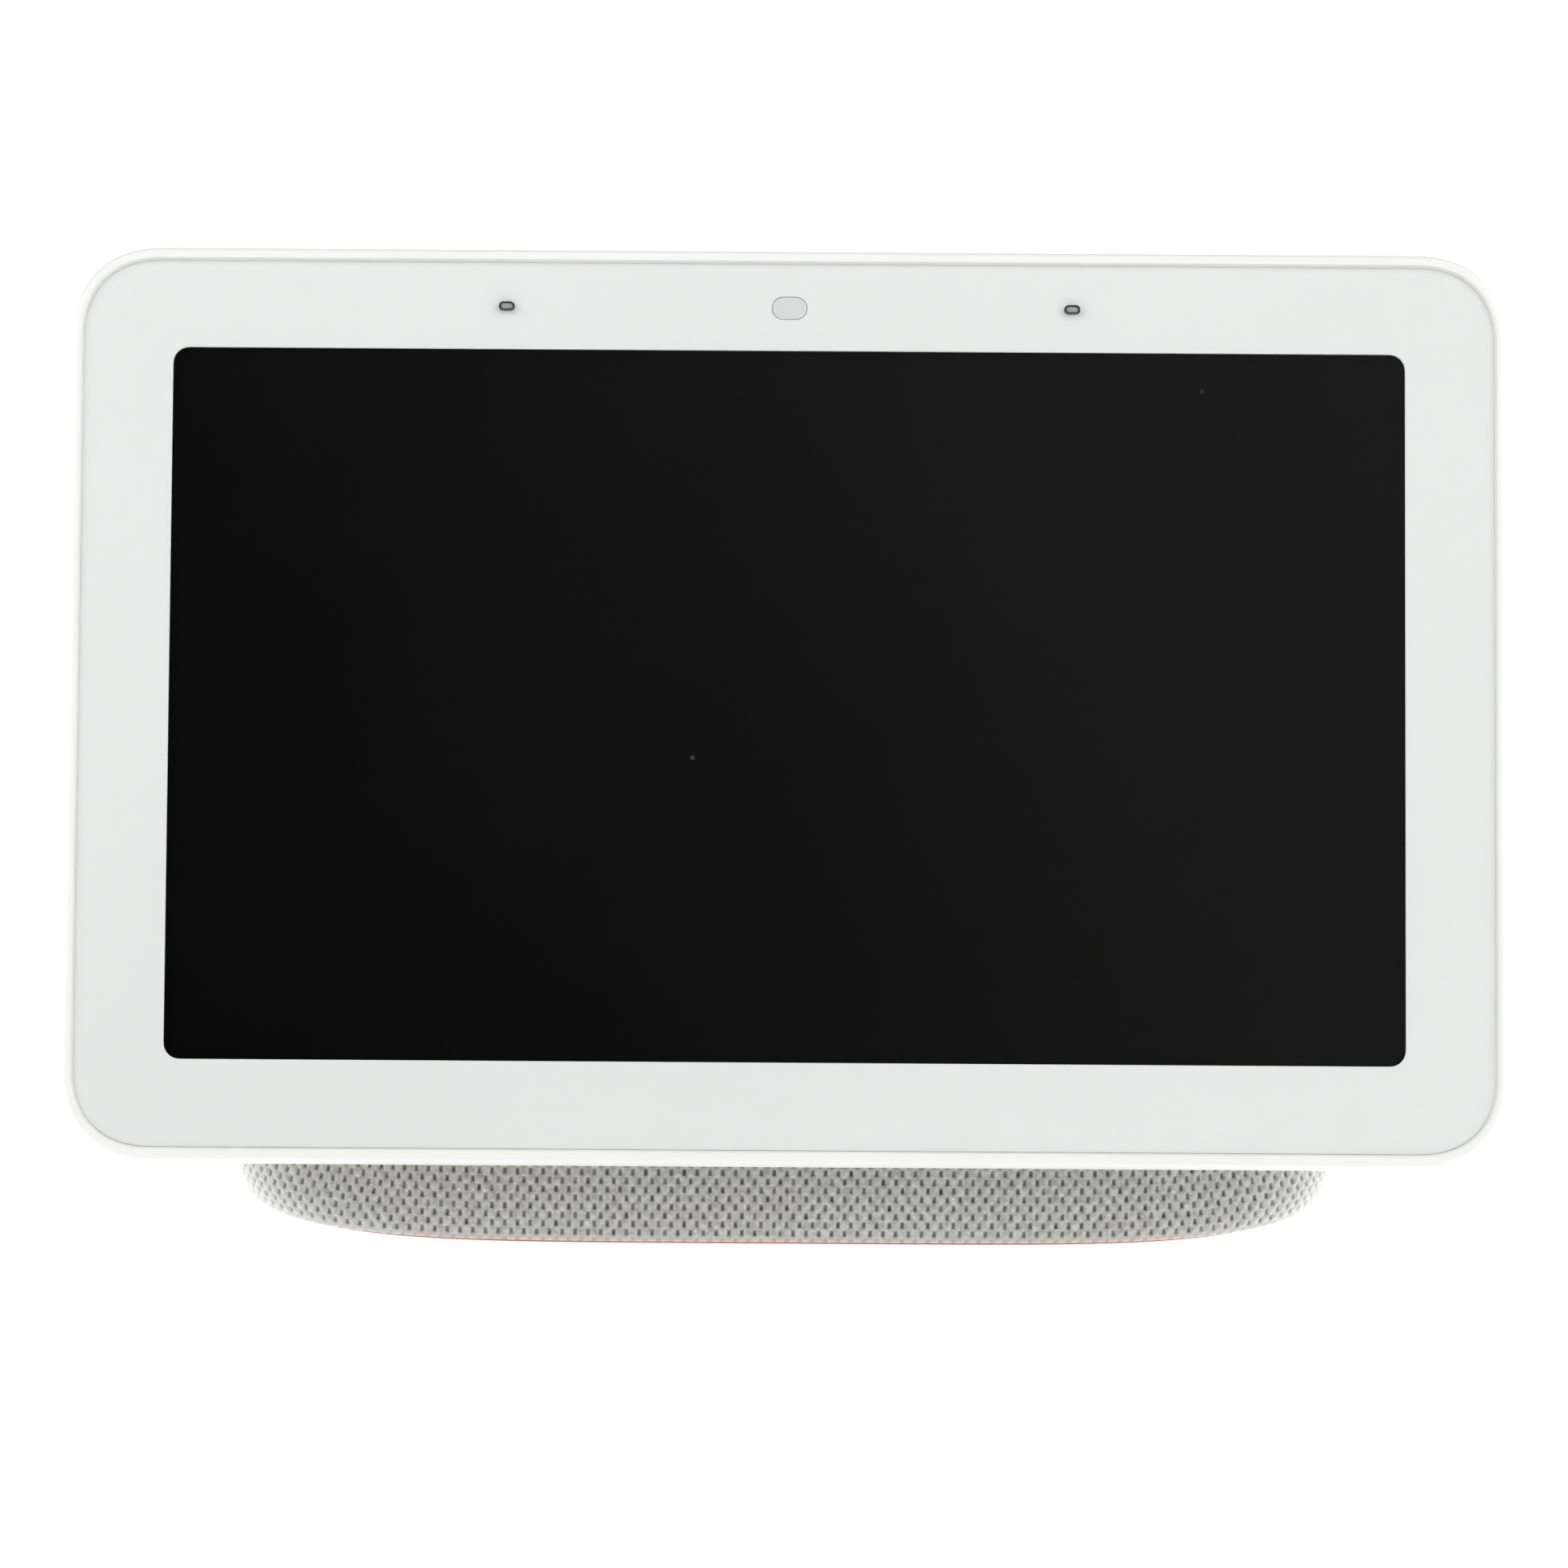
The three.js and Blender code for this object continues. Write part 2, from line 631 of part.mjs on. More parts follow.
function baseShell() {
  const body = keep(baseBody(SHELL_INSET), above(FABRIC_FLOOR), behindHead(JOINT_DEPTH));
  const room = keep(baseBody(SHELL_INSET + SHELL), behindHead(JOINT_DEPTH + SHELL));
  const posts = CHASSIS_SCREWS.flatMap(([x, y]) => [
    bar({ radius: 3.4, x, y, from: 3.6, to: 16, sides: 16 }),
    new THREE.BoxGeometry(16, 1.6, 12.4).translate(x + 8 * Math.sign(x), y, 9.8),
  ]);
  // Whatever stands up inside the shell is trimmed to end within its wall.
  const trimmed = (...bodies) => keep(join(...bodies), baseBody(SHELL_INSET + 0.5));
  const collar = inletBar(JACK.recess + 1.6, JACK_FACE + 1.4, JACK_FACE + 13.4);
  const span = { from: -JOINT_DEPTH - SHELL - 2, to: -JOINT_DEPTH + 2 };
  const pegs = DRIVER_PEGS.map(([x, y]) =>
    bar({ radius: 2.2, x, y, from: -1.6, to: 12, sides: 12 }).applyMatrix4(driver.matrixWorld),
  );
  const tools = [
    plugRecess(JACK.recess),
    bezelSeat(),
    fromHead(neckWindow(span)),
    ...neckHoles(1.8, span).map(fromHead),
    ...chassisHoles(1.3, 2, 14),
  ];
  const shell = join(cut(body, room), trimmed(...posts), trimmed(collar), trimmed(...pegs));
  return cut(shell, ...tools, ...soundSlots());
}

const chassisHoles = (radius, from, to) =>
  CHASSIS_SCREWS.map(([x, y]) => bar({ radius, x, y, from, to, sides: 16 }));

// Slots through the back of the shell in front of the cone, under the knit.
function soundSlots() {
  const [rows, pitch] = [6, 5.4];
  const slots = [];
  for (let i = 0; i < rows; i++) {
    const offset = (i - (rows - 1) / 2) * pitch;
    const width = 2 * Math.sqrt(17 ** 2 - offset ** 2);
    const slot = pill({ width, height: 2.4, y: -offset, from: 1, to: 30 });
    slots.push(slot.applyMatrix4(driver.matrixWorld));
  }
  return slots;
}

// A section of the base, extruded upwards.
function baseSlab(inset, from, to) {
  const low = baseRing(0, inset).map((p) => p.setZ(from));
  const high = baseRing(0, inset).map((p) => p.setZ(to));
  return loft([low, high]);
}

function baseChassis() {
  const slab = baseSlab(CHASSIS.inset, CHASSIS.from, CHASSIS.to);
  const sunk = CHASSIS_SCREWS.map(([x, y]) => bar({ radius: 2.9, x, y, from: 0, to: CHASSIS.sunk }));
  return cut(slab, ...sunk, ...chassisHoles(1.6, 0, 5));
}

// The foot is one soft pad under the whole chassis, set back from the knit's edge.
const rubberFoot = () => baseSlab(FOOT.inset, 0, FOOT.height);

// ---------------------------------------------------------------- fasteners

// A pan-head screw with a cross recess, its head's underside at height 0 and its shank pointing up.
function screw({ head: radius, headHeight, shank, length }) {
  const body = turned(
    [
      [0, -headHeight],
      [radius * 0.75, -headHeight],
      [radius, -headHeight * 0.5],
      [radius, 0],
      [shank, 0],
      [shank, length - shank],
      [0, length],
    ],
    12,
  );
  const [long, short] = [radius * 1.1, radius * 0.26];
  const cross = [[long, short], [short, long]].map(([width, height]) =>
    new THREE.BoxGeometry(width, height, headHeight).translate(0, 0, -headHeight),
  );
  return cut(body, ...cross);
}

// ---------------------------------------------------------------- the loudspeaker

// All along the driver's own axis: the mounting flange's face is at 0 and the magnet is behind it.
function speakerBasket() {
  return turnedRing(
    [
      [16.6, 0],
      [DRIVER.radius, 0],
      [DRIVER.radius, -1.6],
      [17.2, -1.6],
      [12.4, -8.6],
      [12.4, -9.8],
      [8.4, -9.8],
      [8.4, -8.8],
      [11.4, -8.8],
      [16.2, -1.9],
    ],
    28,
  );
}

const speakerMagnet = () =>
  turnedRing([[8, -10], [11.6, -10], [11.6, -15.4], [8, -15.4]], 32);

// The yoke's back plate and the pole that stands up inside the coil.
function speakerYoke() {
  return turned(
    [
      [0, -17],
      [11.4, -17],
      [11.4, -15.5],
      [5.3, -15.5],
      [5.3, -9.6],
      [0, -9.6],
    ],
    32,
  );
}

// The half-round rubber roll that holds the cone's edge.
function speakerSurround() {
  const [inner, outer, thickness] = [12.9, 16.5, 0.4];
  const [centre, roll] = [(inner + outer) / 2, (outer - inner) / 2];
  const arc = (radius, reverse) => {
    const points = [];
    for (let i = 0; i <= 4; i++) {
      const turn = ((reverse ? i : 4 - i) / 4) * Math.PI;
      points.push([centre + radius * Math.cos(turn), 0.2 + radius * Math.sin(turn)]);
    }
    return points;
  };
  return turnedRing([...arc(roll, true), ...arc(roll - thickness, false)], 24);
}

function speakerSpider() {
  const folds = [
    [6.9, -7.9],
    [7.8, -7.3],
    [8.7, -7.9],
    [9.6, -7.3],
    [10.5, -7.9],
    [11.2, -7.9],
  ];
  const upper = folds.map(([radius, height]) => [radius, height + 0.35]);
  return turnedRing([...folds, ...upper.reverse()], 24);
}

function speakerCone() {
  return turned(
    [
      [0, -3.0],
      [3.2, -3.6],
      [6.2, -5.2],
      [12.7, -0.2],
      [12.7, -0.7],
      [6.3, -5.8],
      [5.9, -5.8],
      [3.1, -4.1],
      [0, -3.5],
    ],
    32,
  );
}

const voiceCoil = () =>
  turnedRing([[6.0, -5.95], [6.5, -5.95], [6.5, -13.4], [6.0, -13.4]], 32);

// A box round the driver that closes off its back, with a mouth for the driver's basket.
function speakerEnclosure() {
  const [outer, skin] = [{ width: 92, height: 36.8, corner: 7 }, 1.5];
  const [front, back] = [-1.9, -18.9];
  const box = plate({ ...outer, from: back, to: front, segments: 3 });
  const room = plate({
    width: outer.width - 2 * skin,
    height: outer.height - 2 * skin,
    corner: outer.corner - skin,
    from: back + skin,
    to: front - skin,
    segments: 3,
  });
  const mouth = bar({ radius: 17.7, from: -5, to: 1, sides: 32 });
  const wireHole = bar({ radius: 1.5, ...WIRE_HOLE, from: back - 1, to: back + 3, sides: 12 });
  return cut(box, room, mouth, wireHole);
}

// ---------------------------------------------------------------- the power inlet

// The inlet's bore opens towards +Y, and its body runs forwards into the base.
function powerJack() {
  const size = { width: 8.6, height: 8.4, depth: 14 };
  const body = new THREE.BoxGeometry(size.width, size.depth, size.height);
  body.translate(JACK.x, JACK_FACE - size.depth / 2, JACK.z);
  const nose = inletBar(4.2, JACK_FACE - 0.3, JACK_FACE + 1.1, 24);
  const bore = inletBar(JACK.bore, JACK_FACE - 10, JACK_FACE + 14, 24);
  const heel = inletBar(1.3, JACK_FACE - 17, JACK_FACE - 7, 12);
  return cut(join(body, nose), bore, heel);
}

const jackPin = () => inletBar(1.0, JACK_FACE - 13, JACK_FACE - 1, 16);

// A ring that lines the mouth of the recess and covers the knit's cut edge.
function jackBezel() {
  const [inner, outer] = [JACK.recess, JACK.recess + JACK.rim];
  const [foot, lip] = [BEZEL_FOOT, BASE.rear - 0.1];
  const ring = turnedRing(
    [
      [inner, foot],
      [outer, foot],
      [outer, lip - 0.3],
      [outer - 0.3, lip],
      [inner + 0.3, lip],
      [inner, lip - 0.3],
    ],
    28,
  );
  return ring.rotateX(-Math.PI / 2).translate(JACK.x, 0, JACK.z);
}

function jackBoard() {
  const board = new THREE.BoxGeometry(26, 14, 1.2);
  return board.translate(JACK.x + 7, JACK_FACE - 8, JACK.z - 5.1);
}

// ---------------------------------------------------------------- wires

// A round wire through a list of points.
function wire(points, radius, steps = 28) {
  const curve = new THREE.CatmullRomCurve3(points, false, "centripetal");
  const section = new THREE.Shape();
  section.absarc(0, 0, radius, 0, 2 * Math.PI);
  return new THREE.ExtrudeGeometry(section, {
    steps,
    curveSegments: 4,
    bevelEnabled: false,
    extrudePath: curve,
  });
}

const inHead = (x, y, z) => new THREE.Vector3(x, y, z).applyMatrix4(head.matrixWorld);
const inDriver = (x, y, z) => new THREE.Vector3(x, y, z).applyMatrix4(driver.matrixWorld);

// From the inlet's board, through the neck and up to the main board's lower edge.
const neckCable = () =>
  wire(
    [
      new THREE.Vector3(-18, 12, 7.4),
      new THREE.Vector3(-16, 2, 8.4),
      new THREE.Vector3(-10, -7, 14),
      inHead(-6, -31, -22),
      inHead(-4, -29, -15),
      inHead(-3, -24, -9.5),
      inHead(-1, -14, -9.0),
      inHead(3, -6, -9.1),
      inHead(3, -2, -9.1),
    ],
    0.9,
  );

// The driver's pair of wires, run together as one sleeve.
const speakerWire = () =>
  wire(
    [
      inDriver(17.6, -3, -6),
      inDriver(22, -5, -9),
      inDriver(WIRE_HOLE.x, WIRE_HOLE.y, -15),
      inDriver(WIRE_HOLE.x, WIRE_HOLE.y, -20.5),
      inHead(16, -24, -21.5),
      inHead(13, -28, -15),
      inHead(13, -23, -9.4),
      inHead(14, -12, -9.0),
      inHead(15, -5, -9.1),
      inHead(15, -2, -9.1),
    ],
    0.7,
  );

// ---------------------------------------------------------------- assembly

function addDisplayStack() {
  add(head, "cover_glass", coverGlass(), "glass");
  add(head, "border_film", borderFilm(), "whitePlastic");
  add(head, "touch_film", touchFilm(), "glass");
  add(head, "glass_adhesive", glassAdhesive(), "blackRubber");
  add(head, "lcd_panel", plate(LCD), "screen");
  add(head, "backlight_unit", plate(BACKLIGHT), "whitePlastic");
  add(head, "mid_frame", midFrame(), "greyPlastic");
  add(head, "rear_housing", rearHousing(), "whitePlastic");
  add(head, "display_flex", flex(DISPLAY_FLEX), "film");
  add(head, "touch_flex", flex(TOUCH_FLEX), "film");
}

function addSensors() {
  add(head, "sensor_board", sensorBoard(), "board");
  add(
    head,
    "sensor_lens",
    pill({ ...SENSOR_WINDOW, y: SENSOR_LINE, from: -3.3, to: -1.2, segments: 8 }),
    "glass",
  );
  [["left", -MIC_X], ["right", MIC_X]].forEach(([side, x]) => {
    add(head, `mic_mesh_${side}`, micSlot(x, 1.4, { from: -1.4, to: -1.2 }), "greyPlastic");
    add(head, `mic_boot_${side}`, micBoot(x), "blackRubber");
  });
}

function addElectronics() {
  add(head, "main_board", mainBoard(), "board");
  add(head, "cpu_shield", shieldCan({ width: 40, height: 30, x: -22, y: 18 }), "steel");
  add(head, "radio_shield", shieldCan({ width: 26, height: 24, x: 26, y: 20 }), "steel");
  add(head, "heat_spreader", plate(SPREADER), "aluminium");
  add(head, "display_socket", boardSocket({ ...DISPLAY_FLEX, mouth: 0.8 }), "blackPlastic");
  add(product, "neck_cable", neckCable(), "blackRubber");
  add(product, "speaker_wire", speakerWire(), "blackRubber");
  [["left", -77], ["right", 79]].forEach(([side, x]) => {
    add(head, `antenna_${side}`, plate({ ...ANTENNA, x }), "film");
  });
  BOARD_SCREWS.forEach(([x, y], i) => {
    const made = screw({ head: 1.9, headHeight: 0.9, shank: 0.8, length: 1.7 });
    add(head, `board_screw_${i + 1}`, made, "steel").position.set(x, y, BOARD.from - 0.05);
  });
}

function addControls() {
  add(head, "volume_rocker", volumeRocker(), "whitePlastic");
  add(head, "key_board", plate({ ...KEY_BOARD, x: ROCKER.x, y: ROCKER.v }), "board");
  ["up", "down"].forEach((way, i) => {
    add(head, `key_switch_${way}`, keySwitch(KEY_V[i]), "blackPlastic");
    add(head, `key_plunger_${way}`, keyPlunger(KEY_V[i]), "brass");
  });
  add(head, "mute_slider", muteSlider(), "whitePlastic");
  add(head, "mute_switch", muteSwitch(), "blackPlastic");
}

function addNeck() {
  const span = { from: -JOINT_DEPTH - SHELL - FIT - 1.5, to: -JOINT_DEPTH - SHELL - FIT };
  const bracket = plate({ width: 80, height: 25, corner: 3, y: NECK.v - 0.5, ...span });
  const past = { from: span.from - 1, to: span.to + 1 };
  add(head, "neck_bracket", cut(bracket, neckWindow(past), ...neckHoles(1.8, past)), "steel");
  NECK_SCREWS.forEach(([x, y], i) => {
    const made = screw({ head: 2.7, headHeight: 1.6, shank: 1.4, length: 9 });
    add(head, `neck_screw_${i + 1}`, made, "steel").position.set(x, y, span.from - GAP);
  });
}

function addBase() {
  add(product, "fabric_cover", fabricCover(), "knit");
  add(product, "base_shell", baseShell(), "greyPlastic");
  add(product, "base_chassis", baseChassis(), "blackPlastic");
  add(product, "rubber_foot", rubberFoot(), "coralRubber");
  CHASSIS_SCREWS.forEach(([x, y], i) => {
    const made = screw({ head: 2.5, headHeight: 0.85, shank: 1.15, length: 8 });
    add(product, `chassis_screw_${i + 1}`, made, "steel").position.set(x, y, CHASSIS.sunk - GAP);
  });
}

function addSpeaker() {
  add(driver, "speaker_enclosure", speakerEnclosure(), "blackPlastic");
  add(driver, "speaker_basket", speakerBasket(), "steel");
  add(driver, "speaker_magnet", speakerMagnet(), "magnet");
  add(driver, "speaker_yoke", speakerYoke(), "steel");
  add(driver, "speaker_surround", speakerSurround(), "blackRubber");
  add(driver, "speaker_spider", speakerSpider(), "film");
  add(driver, "speaker_cone", speakerCone(), "paper");
  add(driver, "voice_coil", voiceCoil(), "brass");
}

function addPower() {
  add(product, "power_jack", powerJack(), "blackPlastic");
  add(product, "jack_pin", jackPin(), "brass");
  add(product, "jack_bezel", jackBezel(), "blackPlastic");
  add(product, "jack_board", jackBoard(), "board");
}

addDisplayStack();
addSensors();
addElectronics();
addControls();
addNeck();
addBase();
addSpeaker();
addPower();

export default product;
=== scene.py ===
"""The looks of a tabletop smart display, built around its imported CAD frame.

Metres, +Z up, front towards -Y. Shapes are worked out in millimetres and scaled once, when a mesh is made.
The head's own frame has x to the right, v up along the glass and z out of the glass, with 0 at its face.
"""

import json
import math

import bmesh
import bpy
import numpy as np
from mathutils import Matrix, Vector


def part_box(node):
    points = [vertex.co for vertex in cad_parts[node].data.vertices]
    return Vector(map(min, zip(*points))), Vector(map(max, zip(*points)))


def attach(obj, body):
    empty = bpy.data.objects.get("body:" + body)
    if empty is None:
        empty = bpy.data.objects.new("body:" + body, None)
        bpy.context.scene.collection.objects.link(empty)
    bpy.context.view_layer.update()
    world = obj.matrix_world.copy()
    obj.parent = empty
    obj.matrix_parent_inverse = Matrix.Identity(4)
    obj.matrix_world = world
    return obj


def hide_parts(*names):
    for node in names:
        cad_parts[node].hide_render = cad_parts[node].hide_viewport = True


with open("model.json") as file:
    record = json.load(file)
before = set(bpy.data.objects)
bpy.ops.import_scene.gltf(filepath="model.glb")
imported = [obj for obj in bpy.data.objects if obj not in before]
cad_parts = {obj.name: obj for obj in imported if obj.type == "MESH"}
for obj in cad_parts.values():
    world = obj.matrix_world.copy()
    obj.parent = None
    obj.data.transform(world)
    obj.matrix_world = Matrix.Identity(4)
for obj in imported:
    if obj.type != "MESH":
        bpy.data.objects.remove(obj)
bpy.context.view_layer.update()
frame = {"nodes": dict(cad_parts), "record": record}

MM = 0.001
random = np.random.default_rng(7)

# ---------------------------------------------------------------- driving dimensions, in millimetres

TILT = math.radians(25)
SCREEN = (152.9, 88.4)
SCREEN_CORNER = 2.0
GLASS_CORNER = 8.6
HOUSING_CORNER = 10.3
WIDEST = 4.0  # the housing's outline is widest this far behind the glass's face
WALL = 1.8
SEAM = 0.35  # the groove between glass and housing
SEAM_FOOT = 0.06  # how wide it still is beside the back of the glass
PRINT_BACK = 1.3  # the white print's back, behind the glass's face
JOINT_GAP = 0.3  # between the head's back and the base
FIT = 0.3  # the play round a key in its opening

FABRIC_FLOOR = 1.0  # the knit's foot above the table
STITCH = 1.6  # across
ROW = 1.06  # up
DIMPLE = 0.34  # deep

# The base's sections turn up from its foot to the head's back, about a line in front of it.
BASE_HALF_WIDTH = 69.3  # at the foot
BASE_SWELL = 11.0  # the half width's growth with the section's lift
BASE_TAPER = 21.6  # and its fall with the square of the lift
BASE_FRONT = -23.7  # y of the foot's front
BASE_LEAN = 0.25  # how far the front goes back for each millimetre up
BASE_REAR = 33.45  # y of the foot's back
BASE_REACH = 26.0  # how much longer the last section is than the foot's
BASE_ACROSS = 5.0  # exponents of a section's outline
BASE_ALONG = 3.0


# ---------------------------------------------------------------- the head's frame

RIGHT = Vector((1, 0, 0))
ALONG = Vector((0, math.sin(TILT), math.cos(TILT)))
OUT = Vector((0, -math.cos(TILT), math.sin(TILT)))


def glass_face():
    """The middle of the glass's front face, from the box of the tilted pane."""
    low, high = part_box("cover_glass")
    size = high - low
    sine, cosine = math.sin(TILT), math.cos(TILT)
    thickness = (size.y * cosine - size.z * sine) / (cosine**2 - sine**2)
    return (low + high) / 2 + OUT * thickness / 2


CENTRE = glass_face()
HEAD_AXES = np.array([RIGHT, ALONG, OUT])


def on_head(points):
    """Head coordinates in millimetres to the object's frame, also in millimetres."""
    return np.array(points, float) @ HEAD_AXES + np.array(CENTRE) / MM


def head_box(node):
    """Lowest and highest corners of a CAD node in head coordinates, in millimetres."""
    corners = np.array([v.co for v in frame["nodes"][node].data.vertices])
    local = (corners - np.array(CENTRE)) @ HEAD_AXES.T / MM
    return local.min(0), local.max(0)


# ---------------------------------------------------------------- camera, floor and light

VIEW_ELEVATION = math.radians(20.2)
VIEW_DISTANCE = 0.8
VIEW_LENS = 148.8  # focal length
VIEW_ROLL = math.radians(0.38)
AIM_BELOW = 9.82 * MM  # the picture's middle lies this far below the glass's middle
AIM_LEFT = 0.3 * MM


def make_camera():
    lens = bpy.data.cameras.new("camera")
    lens.sensor_width = 36
    lens.lens = VIEW_LENS
    lens.clip_start = 0.01
    lens.clip_end = 200
    camera = bpy.data.objects.new("camera", lens)
    bpy.context.scene.collection.objects.link(camera)
    up = Vector((0, math.sin(VIEW_ELEVATION), math.cos(VIEW_ELEVATION)))
    back = Vector((0, -math.cos(VIEW_ELEVATION), math.sin(VIEW_ELEVATION)))
    eye = CENTRE - up * AIM_BELOW - RIGHT * AIM_LEFT + back * VIEW_DISTANCE
    turn = Matrix((RIGHT, up, back)).transposed().to_4x4()
    camera.matrix_world = Matrix.Translation(eye) @ turn @ Matrix.Rotation(VIEW_ROLL, 4, "Z")
    bpy.context.scene.camera = camera


def node(tree, kind, inputs=None, **settings):
    """A shader node with its settings, and its inputs as values or as links."""
    made = tree.nodes.new("ShaderNode" + kind)
    for name, value in settings.items():
        setattr(made, name, value)
    for name, value in (inputs or {}).items():
        if isinstance(value, bpy.types.NodeSocket):
            tree.links.new(value, made.inputs[name])
        else:
            made.inputs[name].default_value = value
    return made


def reckon(tree, operation, *values):
    """The result of a Math node on numbers or links."""
    return node(tree, "Math", dict(enumerate(values)), operation=operation).outputs[0]


def rise(tree, value, low, high):
    """A smooth step from 0 to 1 as the value goes from low to high, which may be the lower one."""
    ends = {"From Min": low, "From Max": high}
    ranged = node(tree, "MapRange", {"Value": value, **ends}, interpolation_type="SMOOTHSTEP")
    return ranged.outputs["Result"]


def make_floor():
    half = 40.0  # wide enough that its edge doesn't show in a low side view
    corners = [(-half, -half, 0), (half, -half, 0), (half, half, 0), (-half, half, 0)]
    mesh = bpy.data.meshes.new("floor")
    mesh.from_pydata(corners, [], [(0, 1, 2, 3)])
    floor = bpy.data.objects.new("floor", mesh)
    bpy.context.scene.collection.objects.link(floor)
    made = bpy.data.materials.new("pale_floor")
    made.use_nodes = True
    shader = made.node_tree.nodes["Principled BSDF"]
    shader.inputs["Base Color"].default_value = (0.5, 0.5, 0.497, 1)
    shader.inputs["Roughness"].default_value = 0.9
    shader.inputs["Emission Color"].default_value = (1, 1, 1, 1)
    shader.inputs["Emission Strength"].default_value = 0.85
    mesh.materials.append(made)


def make_softbox(name, azimuth, elevation, distance, size, power):
    """A square area light that faces the object. Azimuth 0 is in front of it, and 90 to its right."""
    light = bpy.data.lights.new(name, "AREA")
    light.shape = "SQUARE"
    light.size = size
    light.energy = power
    lamp = bpy.data.objects.new(name, light)
    bpy.context.scene.collection.objects.link(lamp)
    turn, lift = math.radians(azimuth), math.radians(elevation)
    away = Vector((math.sin(turn) * math.cos(lift), -math.cos(turn) * math.cos(lift), math.sin(lift)))
    aim = Vector((0, 0, CENTRE.z))
    facing = away.to_track_quat("Z", "Y").to_matrix().to_4x4()
    lamp.matrix_world = Matrix.Translation(aim + away * distance) @ facing


def make_world():
    """A dim room, a little brighter high up on the right, which is what the dark screen mirrors."""
    world = bpy.data.worlds.new("room")
    bpy.context.scene.world = world
    world.use_nodes = True
    tree = world.node_tree
    direction = node(tree, "TexCoord").outputs["Generated"]
    sideways = Vector((0.86, 0.25, 0.44)).normalized()
    slope = node(tree, "VectorMath", {0: direction, 1: sideways}, operation="DOT_PRODUCT")
    mirrored = math.radians(30)  # the screen's middle mirrors what lies this high in front of it
    middle = Vector((0, -math.cos(mirrored), math.sin(mirrored))).dot(sideways)
    share = rise(tree, slope.outputs["Value"], middle - 0.13, middle + 0.15)
    room = node(tree, "Mix", {"Factor": share}, data_type="RGBA")
    # The Mix node lists a set of sockets for each data type; those for colours come by index.
    room.inputs[6].default_value = (0.03, 0.03, 0.03, 1)
    room.inputs[7].default_value = (0.33, 0.33, 0.325, 1)
    tree.links.new(room.outputs[2], tree.nodes["Background"].inputs["Color"])


def make_light():
    make_softbox("top", 0, 84, 1.7, 2.4, 13)
    for side in (-1, 1):
        make_softbox(f"front_{side}", side * 58, 34, 1.6, 1.1, 13 - 0.7 * side)
        make_softbox(f"side_{side}", side * 98, 14, 1.6, 1.0, 6)
        make_softbox(f"back_{side}", side * 140, 40, 1.7, 1.1, 2)


# ---------------------------------------------------------------- materials


def new_material(name, color, roughness, **sockets):
    """A Principled material. Keyword names are socket names with _ for a space."""
    made = bpy.data.materials.new(name)
    made.use_nodes = True
    shader = made.node_tree.nodes["Principled BSDF"]
    shader.inputs["Base Color"].default_value = (*color, 1)
    shader.inputs["Roughness"].default_value = roughness
    for key, value in sockets.items():
        shader.inputs[key.replace("_", " ")].default_value = value
    return made, made.node_tree, shader


def object_noise(tree, scale, detail=2.0, stretch=(1, 1, 1)):
    """Noise in the object's own space: scale is in features per metre."""
    place = node(tree, "TexCoord").outputs["Object"]
    mapped = node(tree, "Mapping", {"Vector": place, "Scale": stretch}).outputs["Vector"]
    return node(tree, "TexNoise", {"Vector": mapped, "Scale": scale, "Detail": detail}).outputs["Fac"]


def shades(tree, factor, dark, light, low=0.3, high=0.7):
    """A colour that goes from dark to light as the factor goes from low to high."""
    ramp = node(tree, "ValToRGB", {"Fac": factor})
    ramp.color_ramp.elements[0].position = low
    ramp.color_ramp.elements[0].color = (*dark, 1)
    ramp.color_ramp.elements[1].position = high
    ramp.color_ramp.elements[1].color = (*light, 1)
    return ramp.outputs["Color"]


def spread(tree, factor, low, high):
    """A number that goes from low to high as the factor goes from 0.3 to 0.7."""
    ends = {"From Min": 0.3, "From Max": 0.7, "To Min": low, "To Max": high}
    return node(tree, "MapRange", {"Value": factor, **ends}).outputs["Result"]


def set_color(tree, shader, color):
    tree.links.new(color, shader.inputs["Base Color"])


def mixed(tree, share, first, second, blend="MIX"):
    """The first colour, a link, turned into the second by a share."""
    inputs = {"Fac": share, "Color1": first, "Color2": (*second, 1)}
    return node(tree, "MixRGB", inputs, blend_type=blend).outputs[0]


def roughen(tree, shader, height, depth, strength=1.0):
    """Bump from a height, whose full range stands for depth in metres."""
    bump = node(tree, "Bump", {"Height": height, "Distance": depth, "Strength": strength})
    tree.links.new(bump.outputs["Normal"], shader.inputs["Normal"])


def scaled(color, factor):
    return tuple(min(1.0, c * factor) for c in color)


def moulded(name, color, roughness, grain=2600, depth=0.012, variation=0.03, **sockets):
    """Moulded plastic or rubber: faint clouding, a fine spark-eroded grain and uneven gloss."""
    made, tree, shader = new_material(name, color, roughness, **sockets)
    cloud = object_noise(tree, 38, 3)
    fine = object_noise(tree, grain, 3)
    clouded = shades(tree, cloud, scaled(color, 1 - variation), scaled(color, 1 + variation / 2))
    set_color(tree, shader, clouded)
    tree.links.new(spread(tree, fine, roughness - 0.05, roughness + 0.06), shader.inputs["Roughness"])
    roughen(tree, shader, fine, depth * MM)
    return made


def drawn_metal(name, color, roughness, stretch=(1, 14, 1)):
    """Sheet or turned metal with fine lines along one way."""
    made, tree, shader = new_material(name, color, roughness, Metallic=1.0)
    lines = object_noise(tree, 900, 4, stretch)
    cloud = object_noise(tree, 120, 2)
    set_color(tree, shader, shades(tree, cloud, scaled(color, 0.86), scaled(color, 1.08)))
    tree.links.new(spread(tree, lines, roughness - 0.08, roughness + 0.14), shader.inputs["Roughness"])
    roughen(tree, shader, lines, 0.006 * MM)
    return made


